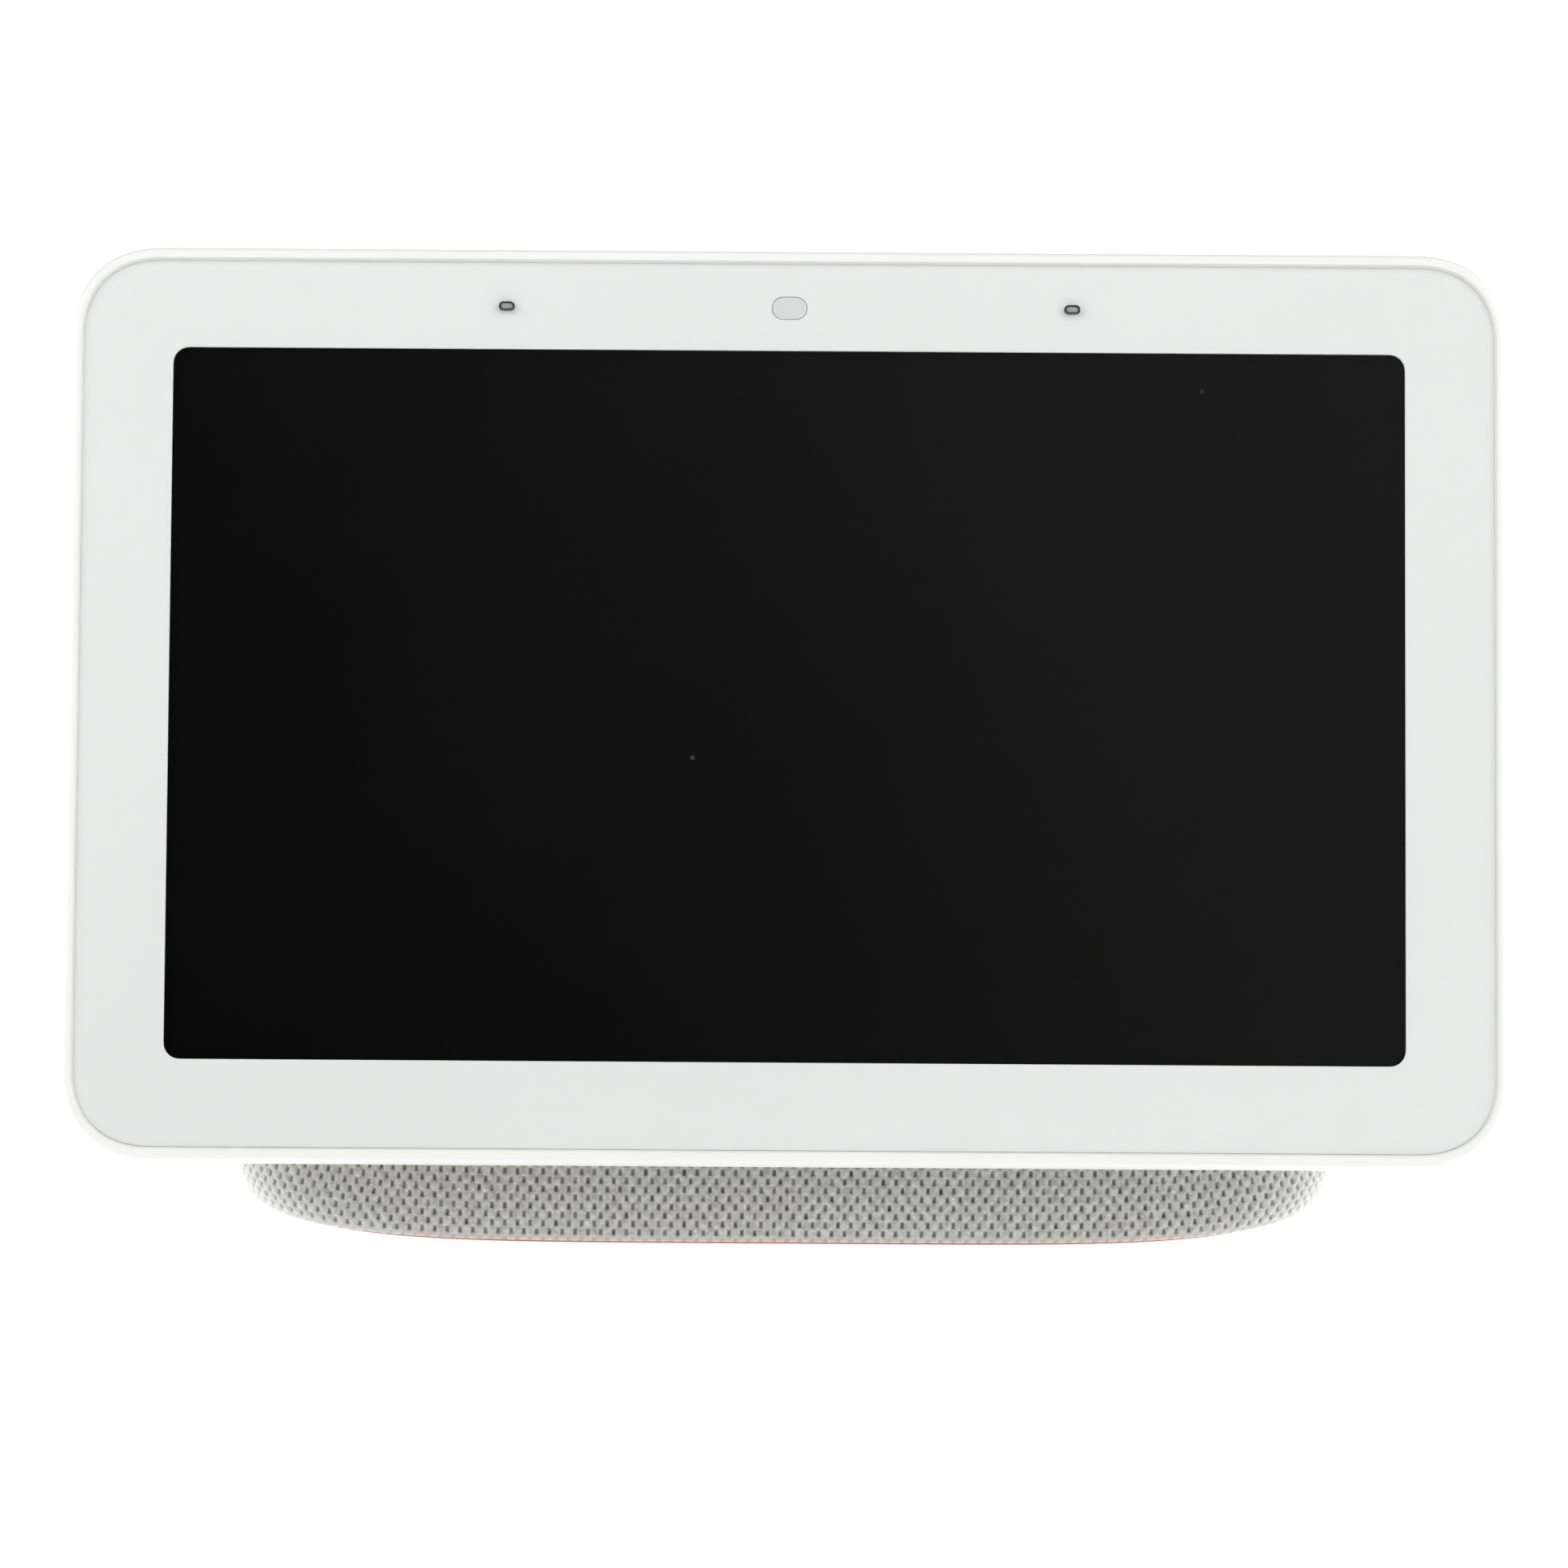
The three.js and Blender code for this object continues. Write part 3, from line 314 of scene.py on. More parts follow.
def circuit_board():
    """Green solder resist over tracks, with plated holes."""
    resist, track, tin = (0.012, 0.085, 0.04), (0.03, 0.16, 0.075), (0.6, 0.6, 0.56)
    made, tree, shader = new_material("circuit_board", resist, 0.35)
    place = node(tree, "TexCoord").outputs["Object"]
    cells = node(tree, "TexVoronoi", {"Vector": place, "Scale": 420.0}, distance="MANHATTAN", feature="F1")
    tracks = shades(tree, cells.outputs["Distance"], resist, track, 0.34, 0.42)
    holes = node(tree, "TexVoronoi", {"Vector": place, "Scale": 300.0}, feature="F1")
    plated = reckon(tree, "LESS_THAN", holes.outputs["Distance"], 0.09)
    set_color(tree, shader, mixed(tree, plated, tracks, tin))
    tree.links.new(plated, shader.inputs["Metallic"])
    roughen(tree, shader, cells.outputs["Distance"], 0.03 * MM)
    return made


def gloss(tree, straight):
    """How much a clear face mirrors: straight on, and more towards grazing, alike from both sides."""
    facing = node(tree, "LayerWeight", {"Blend": 0.5}).outputs["Facing"]
    steep = reckon(tree, "POWER", facing, 5.0)
    return reckon(tree, "MULTIPLY_ADD", steep, 1 - straight, straight)


def clear_face(name, tint, straight, unevenness, roughness):
    """A clear material that mirrors: itself, its node tree and its shader's output."""
    made = bpy.data.materials.new(name)
    made.use_nodes = True
    tree = made.node_tree
    tree.nodes.remove(tree.nodes["Principled BSDF"])
    clear = node(tree, "BsdfTransparent", {"Color": (*tint, 1)})
    haze = spread(tree, object_noise(tree, *unevenness), *roughness)
    mirror = node(tree, "BsdfGlossy", {"Roughness": haze})
    both = node(tree, "MixShader", {0: gloss(tree, straight), 1: clear.outputs[0], 2: mirror.outputs[0]})
    tree.links.new(both.outputs[0], tree.nodes["Material Output"].inputs["Surface"])
    return made, tree, both.outputs[0]


def clear_film():
    """A clear plastic film with a trace of haze."""
    return clear_face("clear_film", (0.985, 0.988, 0.985), 0.001, (900, 2), (0.15, 0.3))[0]


def clear_glass():
    """A clear pane with smudges and a little dust: what lies behind it shows through."""
    made, tree, pane = clear_face("clear_glass", (0.99, 0.992, 0.991), 0.02, (26, 4), (0.02, 0.06))
    place = node(tree, "TexCoord").outputs["Object"]
    specks = node(tree, "TexVoronoi", {"Vector": place, "Scale": 95.0, "Randomness": 1.0})
    # A speck of dust shows only where a cell's own random number is high.
    ends = {"From Min": 0.012, "From Max": 0.035, "To Min": 0.07, "To Max": 0.0}
    small = node(tree, "MapRange", {"Value": specks.outputs["Distance"], **ends}).outputs[0]
    split = node(tree, "SeparateColor", {"Color": specks.outputs["Color"]})
    mask = reckon(tree, "MULTIPLY", small, reckon(tree, "GREATER_THAN", split.outputs[0], 0.86))
    dust = node(tree, "BsdfDiffuse", {"Color": (0.6, 0.6, 0.58, 1)})
    dusty = node(tree, "MixShader", {0: mask, 1: pane, 2: dust.outputs[0]})
    tree.links.new(dusty.outputs[0], tree.nodes["Material Output"].inputs["Surface"])
    return made


def printed_border():
    """The white print behind the glass: even and cool, with a trace of pigment grain."""
    color = (0.732, 0.738, 0.735)
    made, tree, shader = new_material("printed_border", color, 0.5)
    cloud = object_noise(tree, 14, 2)
    set_color(tree, shader, shades(tree, cloud, scaled(color, 0.985), scaled(color, 1.01)))
    roughen(tree, shader, object_noise(tree, 9000, 1), 0.002 * MM)
    return made


def screen_face():
    """The panel when it is off: near black, with the faint weave of its touch grid."""
    color = (0.0014, 0.0014, 0.0014)
    made, tree, shader = new_material("screen_face", color, 0.35, Specular_IOR_Level=0.02)
    cloud = object_noise(tree, 22, 3)
    set_color(tree, shader, shades(tree, cloud, (0.0009, 0.001, 0.0009), (0.0018, 0.0019, 0.0017)))
    roughen(tree, shader, object_noise(tree, 5000, 1), 0.001 * MM)
    return made


def knit_holes(tree, place):
    """1 in each hole of the knit and 0 on its yarn, from the UV map's stitches and rows."""
    across = reckon(tree, "COSINE", reckon(tree, "MULTIPLY", place.outputs["X"], 2 * math.pi))
    up = reckon(tree, "COSINE", reckon(tree, "MULTIPLY", place.outputs["Y"], math.pi))
    inline = reckon(tree, "MULTIPLY", across, reckon(tree, "SIGN", up))
    level = rise(tree, reckon(tree, "ABSOLUTE", up), 0.0, 0.7)
    return reckon(tree, "MULTIPLY", rise(tree, inline, 0.25, 0.92), level)


def knitted():
    """Melange knit. The UV map counts stitches across and rows up, so each dimple has its place in it."""
    yarn = (0.44, 0.447, 0.414)
    made, tree, shader = new_material(
        "knitted", yarn, 0.95, Sheen_Weight=1.0, Sheen_Roughness=0.4, Specular_IOR_Level=0.15
    )
    place = node(tree, "UVMap", uv_map="stitches").outputs["UV"]
    split = node(tree, "SeparateXYZ", {"Vector": place})
    hole = knit_holes(tree, split)

    def uv_noise(across, up, detail=2.0, seed=0.0):
        shift = {"Scale": (across, up, 1), "Location": (seed, seed, 0)}
        mapped = node(tree, "Mapping", {"Vector": place, **shift}).outputs[0]
        return node(tree, "TexNoise", {"Vector": mapped, "Scale": 1.0, "Detail": detail}).outputs["Fac"]

    melange = shades(tree, uv_noise(1.9, 1.3, 3), scaled(yarn, 0.72), scaled(yarn, 1.34), 0.3, 0.72)
    flecked = mixed(tree, rise(tree, uv_noise(2.6, 2.2, 1, 31.0), 0.64, 0.78), melange, (0.72, 0.72, 0.68))
    patches = rise(tree, uv_noise(0.05, 0.08, 2, 7.0), 0.35, 0.75)
    warm = mixed(tree, patches, flecked, (0.97, 0.955, 0.9), "MULTIPLY")
    uneven = reckon(tree, "ADD", 0.3, reckon(tree, "MULTIPLY", uv_noise(1.3, 0.9, 1, 3), 0.95))
    # Painted shade: the knit's dimples are darkened nearly to black, more in some than in others.
    dark = mixed(tree, reckon(tree, "MULTIPLY", hole, uneven), warm, (0.035, 0.036, 0.03))
    # Painted reflection: the lowest rows are tinted pink for the coral foot below them.
    hem = reckon(tree, "MULTIPLY", rise(tree, split.outputs["Y"], 0.85, 0.3), 0.75)
    coral_reflected = mixed(tree, hem, dark, (0.6, 0.52, 0.475))
    # Painted sheen: the colour is lightened towards white where the knit turns away, for the light that the
    # yarn's loose fibres catch.
    facing = node(tree, "LayerWeight", {"Blend": 0.5}).outputs["Facing"]
    set_color(tree, shader, mixed(tree, reckon(tree, "MULTIPLY", facing, 1.08), coral_reflected, (0.9, 0.9, 0.88)))
    fibres = reckon(tree, "MULTIPLY", uv_noise(9, 5, 3, 11.0), 0.5)
    height = reckon(tree, "SUBTRACT", fibres, reckon(tree, "MULTIPLY", hole, 0.8))
    roughen(tree, shader, height, 0.12 * MM, 0.8)
    return made


def woven_mesh():
    """The fine mesh in the microphone slots."""
    made, tree, shader = new_material("woven_mesh", (0.3, 0.31, 0.31), 0.5)
    place = node(tree, "TexCoord").outputs["Object"]
    threads = [
        node(tree, "TexWave", {"Vector": place, "Scale": 1500.0}, bands_direction=way).outputs["Fac"]
        for way in ("X", "Z")
    ]
    weave = reckon(tree, "MULTIPLY", *threads)
    set_color(tree, shader, shades(tree, weave, (0.22, 0.23, 0.23), (0.5, 0.51, 0.51), 0.1, 0.6))
    roughen(tree, shader, weave, 0.03 * MM)
    return made


WHITE = (0.725, 0.725, 0.717)
SENSOR_GREY = (0.62, 0.64, 0.637)
FINISHES = {
    "white_plastic": moulded("white_plastic", WHITE, 0.42, variation=0.012),
    "grey_plastic": moulded("grey_plastic", (0.27, 0.28, 0.3), 0.55),
    "mic_mesh": woven_mesh(),
    "black_plastic": moulded("black_plastic", (0.014, 0.014, 0.016), 0.5, variation=0.1),
    "cover_glass": clear_glass(),
    "clear_film": clear_film(),
    "screen": screen_face(),
    "knit": knitted(),
    "coral_rubber": moulded("coral_rubber", (0.56, 0.2, 0.155), 0.7, grain=1800, depth=0.02, variation=0.08),
    "black_rubber": moulded(
        "black_rubber", (0.012, 0.012, 0.013), 0.75, grain=2200, depth=0.02, variation=0.2
    ),
    "circuit_board": circuit_board(),
    "steel": drawn_metal("steel", (0.5, 0.51, 0.52), 0.32),
    "aluminium": drawn_metal("aluminium", (0.62, 0.63, 0.64), 0.36),
    "brass": drawn_metal("brass", (0.62, 0.42, 0.13), 0.28, (12, 1, 1)),
    "cone_paper": moulded("cone_paper", (0.022, 0.022, 0.024), 0.85, grain=700, depth=0.08, variation=0.4),
    "amber_film": moulded("amber_film", (0.5, 0.2, 0.04), 0.3, grain=900, depth=0.01, variation=0.15),
}
PRINTED_BORDER = printed_border()


def finish_cad_nodes():
    """Every carried CAD node takes the finish of its slot in the record."""
    for row in frame["record"]["subparts"]:
        mesh = frame["nodes"][row["node"]].data
        mesh.materials.clear()
        mesh.materials.append(FINISHES[row["material_slot"]])


# ---------------------------------------------------------------- meshes


def outline(width, height, corner, softness=2.0, steps=12):
    """Points anticlockwise round a rectangle, in millimetres. Softness 2 makes each corner a quarter
    circle; more makes it a superellipse that passes through the same point on the diagonal."""
    reach = corner * (1 - 2**-0.5) / (1 - 2 ** (-1 / softness))
    turn = np.linspace(0, math.pi / 2, steps + 1)
    quarter = np.abs(np.stack([np.cos(turn), np.sin(turn)], 1)) ** (2 / softness)
    centre = np.array([width / 2 - reach, height / 2 - reach])
    points = []
    for i, signs in enumerate([(1, 1), (-1, 1), (-1, -1), (1, -1)]):
        arc = quarter if i % 2 == 0 else quarter[::-1]
        points.append((centre + reach * arc) * signs)
    return np.concatenate(points)


def ring(flat, z, x=0.0, v=0.0):
    """A flat outline as a loop in space, at a height and shifted by (x, v)."""
    return np.column_stack([flat[:, 0] + x, flat[:, 1] + v, np.full(len(flat), z)])


def mesh_object(name, points, faces, material):
    mesh = bpy.data.meshes.new(name)
    mesh.from_pydata((np.asarray(points) * MM).tolist(), [], faces)
    mesh.materials.append(material)
    mesh.validate()
    made = bpy.data.objects.new(name, mesh)
    bpy.context.scene.collection.objects.link(made)
    return made


def loft(name, rings, material, place=on_head):
    """The closed skin through loops of equal length, with a fan over each end."""
    count = len(rings[0])
    points = np.concatenate([place(loop) for loop in rings])
    ends = [place(np.mean(rings[0], 0)[None])[0], place(np.mean(rings[-1], 0)[None])[0]]
    first, last = len(points), len(points) + 1
    points = np.concatenate([points, ends])
    faces = []
    for i in range(len(rings) - 1):
        for j in range(count):
            a, b = i * count + j, i * count + (j + 1) % count
            faces.append((a, b, b + count, a + count))
    top = (len(rings) - 1) * count
    for j in range(count):
        following = (j + 1) % count
        faces.append((first, following, j))
        faces.append((last, top + j, top + following))
    if volume(points, faces) < 0:
        faces = [face[::-1] for face in faces]
    return mesh_object(name, points, faces, material)


def volume(points, faces):
    total = 0.0
    for face in faces:
        for b, c in zip(face[1:], face[2:]):
            total += float(np.dot(points[face[0]], np.cross(points[b], points[c])))
    return total


def settle(piece):
    """Applies a piece's modifiers to its mesh."""
    graph = bpy.context.evaluated_depsgraph_get()
    baked = bpy.data.meshes.new_from_object(piece.evaluated_get(graph))
    piece.modifiers.clear()
    piece.data = baked


def combine(piece, others, operation="DIFFERENCE"):
    """Cuts the other solids out of a piece, or joins them to it, and removes them."""
    for other in others:
        step = piece.modifiers.new("combine", "BOOLEAN")
        step.operation = operation
        step.solver = "EXACT"
        step.material_mode = "TRANSFER"
        step.object = other
    settle(piece)
    for other in others:
        bpy.data.objects.remove(other)
    return piece


def smooth(piece, angle=35):
    """Smooth shading between edges sharper than the angle, with flat faces kept flat."""
    piece.data.shade_smooth()
    piece.data.set_sharp_from_angle(angle=math.radians(angle))
    weights = piece.modifiers.new("normals", "WEIGHTED_NORMAL")
    weights.keep_sharp = True
    settle(piece)
    return piece


def hand_in(piece, slot, *nodes, body="display"):
    """Rides a finished piece on its body in place of its CAD nodes."""
    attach(piece, body)
    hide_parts(*nodes)
    return piece


# ---------------------------------------------------------------- the head

GLASS_LOW, GLASS_HIGH = head_box("cover_glass")
GLASS_SIZE = GLASS_HIGH - GLASS_LOW
HOUSING_LOW, HOUSING_HIGH = head_box("rear_housing")
HOUSING_SIZE = HOUSING_HIGH - HOUSING_LOW
BACK = -HOUSING_LOW[2]  # the back's depth behind the glass's face
# The clear shader doesn't bend light, so the pane is only as thick as real glass looks from in front.
APPARENT = GLASS_SIZE[2] / 1.5
PRINT_FACE = -APPARENT - 0.03  # the white print's face, just behind the pane
SOFT = 2.35  # exponent of the head's corners
ROUND_OVER = 10.0  # how far in the back's rounded edge reaches
CORNER_GROWTH = 0.3  # of the housing's corner, for each millimetre of that
MIC_X = (head_box("mic_mesh_right")[0][0] + head_box("mic_mesh_right")[1][0]) / 2
MIC_SLOT = (1.9, 1.05)
MIC_SUNK = -0.3  # the mesh's face, below the glass's
SENSOR_LOW, SENSOR_HIGH = head_box("sensor_lens")
SENSOR_V = (SENSOR_LOW[1] + SENSOR_HIGH[1]) / 2


def quarter_turn(steps):
    return (np.arange(steps) + 1) / steps * math.pi / 2


def glass_loop(gap, depth):
    """A loop round the glass's edge, at a gap from it and a depth behind its face."""
    flat = outline(GLASS_SIZE[0] + 2 * gap, GLASS_SIZE[1] + 2 * gap, GLASS_CORNER + gap, SOFT, 20)
    return ring(flat, -depth)


def housing_loop(inset, depth, corner, wall=0.0):
    """A loop round the housing, inside its widest line by the inset and a wall."""
    within = 2 * (inset + wall)
    return ring(outline(HOUSING_SIZE[0] - within, HOUSING_SIZE[1] - within, corner, SOFT, 20), -depth)


def cut_through(flat, material, x=0.0, v=0.0):
    """A cutter that runs right through the pane and the print."""
    return loft("cutter", [ring(flat, 1, x, v), ring(flat, -3, x, v)], material)


def cover_glass():
    """The pane, with its front edge rounded over and painted shade on the microphone slots' walls, which are
    coloured dark grey.
    """
    radius, bevel = 0.2, 0.1
    rings = [glass_loop(-1.6 * radius, 0), glass_loop(-radius, 0)]
    for t in quarter_turn(6):
        rings.append(glass_loop(-radius * (1 - math.sin(t)), radius * (1 - math.cos(t))))
    rings += [glass_loop(0, APPARENT - bevel), glass_loop(-bevel, APPARENT)]
    pane = loft("glass_pane", rings, FINISHES["cover_glass"])
    # Painted shade: the slots' walls are coloured dark grey for the shade inside the slots.
    slot_shade = moulded("slot_wall_shade", (0.17, 0.18, 0.175), 0.6)
    slot = outline(*MIC_SLOT, MIC_SLOT[1] / 2 - 0.01, steps=10)
    combine(pane, [cut_through(slot, slot_shade, side * MIC_X, SENSOR_V) for side in (-1, 1)])
    hand_in(smooth(pane), "cover_glass", "cover_glass")


def border_film():
    """The printed border, right up to the glass's edge, with the window and the small holes."""
    past_edge, room = 0.02, 0.1
    rings = [glass_loop(past_edge, -PRINT_FACE), glass_loop(past_edge, PRINT_BACK)]
    film = loft("border_print", rings, PRINTED_BORDER)
    cutters = [cut_through(outline(*SCREEN, SCREEN_CORNER, 2.2, 14), PRINTED_BORDER)]
    for x, size in ((-MIC_X, MIC_SLOT), (MIC_X, MIC_SLOT), (0, SENSOR_HIGH[:2] - SENSOR_LOW[:2])):
        hole = outline(size[0] + room, size[1] + room, size[1] / 2, steps=10)
        cutters.append(cut_through(hole, PRINTED_BORDER, x, SENSOR_V))
    hand_in(smooth(combine(film, cutters)), "white_plastic", "border_film")


def sensor_diffuser():
    """The light sensor's window, a shade darker than the print round it."""
    made, tree, shader = new_material("sensor_diffuser", SENSOR_GREY, 0.35)
    cloud = object_noise(tree, 260, 2)
    set_color(tree, shader, shades(tree, cloud, scaled(SENSOR_GREY, 0.98), scaled(SENSOR_GREY, 1.02)))
    roughen(tree, shader, object_noise(tree, 7000, 2), 0.004 * MM)
    return made


def sensor_lens():
    """The diffusing window, flush with the print's face and with its edge rounded over."""
    size = SENSOR_HIGH - SENSOR_LOW
    profile = ((0.3, 0), (0.12, 0), (0.03, -0.04), (0, -0.12), (0, SENSOR_LOW[2] - PRINT_FACE))
    rings = []
    for inset, z in profile:
        flat = outline(size[0] - 2 * inset, size[1] - 2 * inset, size[1] / 2 - 0.02 - inset, steps=14)
        rings.append(ring(flat, PRINT_FACE + z, 0, SENSOR_V))
    hand_in(smooth(loft("sensor_window", rings, sensor_diffuser())), "clear_film", "sensor_lens")


def mic_meshes():
    """Each mesh fills its slot in the print and has a rim glued behind it."""
    for side, x in (("left", -MIC_X), ("right", MIC_X)):
        low, high = head_box(f"mic_mesh_{side}")
        width, height = high[0] - low[0], high[1] - low[1]
        rim = high[2] - 0.12
        steps = (
            (MIC_SLOT[0] - 0.62, MIC_SLOT[1] - 0.55, MIC_SUNK),
            (MIC_SLOT[0] - 0.4, MIC_SLOT[1] - 0.36, MIC_SUNK - 0.05),
            (MIC_SLOT[0] - 0.32, MIC_SLOT[1] - 0.3, MIC_SUNK - 0.3),
            (MIC_SLOT[0] - 0.32, MIC_SLOT[1] - 0.3, rim),
            (width, height, rim),
            (width, height, low[2]),
        )
        rings = [ring(outline(w, h, h / 2 - 0.02, steps=10), z, x, SENSOR_V) for w, h, z in steps]
        mesh = loft(f"mic_gauze_{side}", rings, FINISHES["mic_mesh"])
        hand_in(smooth(mesh), "mic_mesh", f"mic_mesh_{side}")


def back_round(steps):
    """(inset, depth) pairs from the widest line round to the flat back."""
    reach = BACK - WIDEST
    return [(ROUND_OVER * (1 - math.cos(t)), WIDEST + reach * math.sin(t)) for t in quarter_turn(steps)]


def housing_body():
    """The housing as one closed shell: the room inside, the ledge, the lip, the side and the back."""
    lip, front = 1.0, 0.15  # the rim's rounded reach, and how far its face stands behind the glass's
    ledge, groove = 1.6, 0.12  # depths of the ledge behind the print, and of the seam's rounded edge
    room = WALL + 1.4  # the side wall is thicker than the back
    reach = BACK - WIDEST
    rings = []
    for inset, depth in reversed(back_round(10)):
        inner = WIDEST + (depth - WIDEST) * (1 - WALL / reach)
        rings.append(housing_loop(inset, inner, HOUSING_CORNER + CORNER_GROWTH * inset - 0.8 * room, room))
    rings.append(housing_loop(0, WIDEST, HOUSING_CORNER - 0.8 * room, room))
    rings.append(housing_loop(0, ledge, HOUSING_CORNER - 0.8 * room, room))
    # The groove's wall leans in towards the glass, and its upper edge is rounded.
    rings.append(glass_loop(SEAM_FOOT, ledge))
    rings.append(glass_loop(SEAM_FOOT, APPARENT))
    rings.append(glass_loop(SEAM, front + groove))
    rings.append(glass_loop(SEAM + 0.3 * groove, front + 0.3 * groove))
    rings.append(glass_loop(SEAM + groove, front))
    for turn in np.concatenate([[0], quarter_turn(10)]):
        inset = lip * (1 - math.sin(turn))
        depth = WIDEST - (WIDEST - front) * math.cos(turn)
        rings.append(housing_loop(inset, depth, HOUSING_CORNER - inset))
    for inset, depth in back_round(18):
        rings.append(housing_loop(inset, depth, HOUSING_CORNER + CORNER_GROWTH * inset))
    flat_part = ROUND_OVER + 1
    rings.append(housing_loop(flat_part, BACK, HOUSING_CORNER + CORNER_GROWTH * flat_part))
    return loft("housing_shell", rings, FINISHES["white_plastic"])


def opening(width, height, corner, x, v, fillet=0.35):
    """A cutter from inside the back to just outside it, which flares to leave a rounded edge there."""
    inside, outside = 4 - BACK, -1 - BACK
    rings = [ring(outline(width, height, corner, steps=10), inside, x, v)]
    for t in np.concatenate([[0], quarter_turn(5)]):
        grow = fillet * (1 - math.cos(t))
        flat = outline(width + 2 * grow, height + 2 * grow, corner + grow, steps=10)
        rings.append(ring(flat, -BACK + fillet * (1 - math.sin(t)), x, v))
    wide = outline(width + 2 * fillet, height + 2 * fillet, corner + fillet, steps=10)
    rings.append(ring(wide, outside, x, v))
    return loft("opening", rings, FINISHES["white_plastic"])


ROCKER = {"x": 72.0, "v": 14.0, "width": 5.0, "length": 18.0, "pivot": 9.75}
MUTE = {"v": 42.5, "width": 5.4, "height": 2.8, "travel": 2.0}
NECK = {"v": -30.0, "screw_x": 34.0, "screw_v": 8.0, "width": 36.0, "height": 14.0}
KEY_CORNER = 0.45  # radius of a key cap's rim


def round_bar(name, radius, start, end, material, steps=24):
    """A round bar between two points in head coordinates."""
    start, end = Vector(start), Vector(end)
    turn = (end - start).to_track_quat("Z", "Y")
    circle = [
        turn @ Vector((math.cos(a) * radius, math.sin(a) * radius, 0))
        for a in np.arange(steps) / steps * 2 * math.pi
    ]
    rings = [np.array([p + c for c in circle]) for p in (start, end)]
    return loft(name, rings, material)


def block(name, size, centre, material, corner=0.3):
    flat = outline(size[0], size[1], corner, steps=4)
    half = size[2] / 2
    rings = [ring(flat, centre[2] - half, *centre[:2]), ring(flat, centre[2] + half, *centre[:2])]
    return loft(name, rings, material)


def rear_housing():
    """The shell with the rocker's two ears, the openings in its back and the bore for the trunnions."""
    white = FINISHES["white_plastic"]
    shell = housing_body()
    x, v, pivot = ROCKER["x"], ROCKER["v"], -ROCKER["pivot"]
    ear_x = ROCKER["width"] / 2 + 2.9
    ears = [block("ear", (1.6, 4.4, 2.9), (x + side * ear_x, v, pivot - 0.1), white) for side in (-1, 1)]
    combine(shell, ears, "UNION")
    swing = 2 * FIT + 0.2  # the rocker tilts in its opening
    slots = [
        opening(ROCKER["width"] + swing, ROCKER["length"] + swing, 2.78, x, v),
        opening(MUTE["width"] + MUTE["travel"] + 2 * FIT, MUTE["height"] + 2 * FIT, 1.68, 0, MUTE["v"]),
        opening(NECK["width"], NECK["height"], 3, 0, NECK["v"]),
    ]
    for screw_x in (-NECK["screw_x"], NECK["screw_x"]):
        for screw_v in (NECK["v"] - NECK["screw_v"], NECK["v"] + NECK["screw_v"]):
            slots.append(opening(3.6, 3.6, 1.79, screw_x, screw_v, 0.2))
    span = ROCKER["width"] / 2 + 4.5
    slots.append(round_bar("trunnion_bore", 1.0, (x - span, v, pivot), (x + span, v, pivot), white))
    hand_in(smooth(combine(shell, slots)), "white_plastic", "rear_housing")


def crowned_cap(name, width, height, x, v, crown, foot, dish, material):
    """A key cap with a rounded rim and a crown that is dished for a fingertip."""
    radius = KEY_CORNER
    rings = [ring(outline(width, height, min(width, height) / 2 - 0.01, steps=12), foot, x, v)]
    for t in np.concatenate([[0], quarter_turn(6)]):
        inset = radius * (1 - math.cos(t))
        w, h = width - 2 * inset, height - 2 * inset
        flat = outline(w, h, min(w, h) / 2 - 0.01, steps=12)
        rings.append(ring(flat, crown + radius * (1 - math.sin(t)), x, v))
    for share in (0.85, 0.6, 0.35, 0.12):
        w, h = (width - 2 * radius) * share, (height - 2 * radius) * share
        flat = outline(w, h, min(w, h) / 2 - 0.005, steps=12)
        rings.append(ring(flat, crown + dish * (1 - share**2), x, v))
    return loft(name, rings, material)


def volume_rocker():
    """The key cap with its flange, its two trunnions and the nibs that press the plungers."""
    white = FINISHES["white_plastic"]
    x, v, pivot = ROCKER["x"], ROCKER["v"], -ROCKER["pivot"]
    crown = head_box("volume_rocker")[0][2]
    foot = pivot + 0.05
    cap = crowned_cap("volume_key", ROCKER["width"], ROCKER["length"], x, v, crown, foot, 0.12, white)
    flange = block("flange", (ROCKER["width"] + 2.4, ROCKER["length"] + 3, 0.7), (x, v, pivot), white, 1.5)
    half = ROCKER["width"] / 2 + 3.8
    axle = round_bar("axle", 0.8, (x - half, v, pivot), (x + half, v, pivot), white)
    nib_reach, nib_foot, nib_tip = 6.5, -9.6, -9.0
    nibs = []
    for nib_v in (v - nib_reach, v + nib_reach):
        nibs.append(round_bar("nib", 1.0, (x, nib_v, nib_foot), (x, nib_v, nib_tip), white, 16))
    combine(cap, [flange, axle, *nibs], "UNION")
    hand_in(smooth(cap), "white_plastic", "volume_rocker", body="rocker")


def mute_slider():
    """The knob with three grip ribs, on a flange inside that drives the switch by a prong."""
    white = FINISHES["white_plastic"]
    low, high = head_box("mute_slider")
    x, v = (low[0] + high[0]) / 2, MUTE["v"]
    foot, flange_z, prong_z = -10.0, -10.15, -9.1
    knob = crowned_cap("mute_knob", MUTE["width"], MUTE["height"], x, v, low[2], foot, 0.1, white)
    rib, pitch = (0.22, 1.5, 0.3), 0.8
    ribs = [block("rib_cut", rib, (x + step * pitch, v, low[2] + 0.02), white, 0.05) for step in (-1, 0, 1)]
    flange = block("flange", (13, 6, 0.7), (x, v, flange_z), white, 1.0)
    prong = block("prong", (1.6, 1.0, 1.8), (x, v, prong_z), white, 0.2)
    combine(knob, [flange, prong], "UNION")
    combine(knob, ribs)
    hand_in(smooth(knob), "white_plastic", "mute_slider", body="slider")


# ---------------------------------------------------------------- the base

JOINT_DEPTH = BACK + JOINT_GAP
BACK_ANGLE = math.pi / 2 - TILT


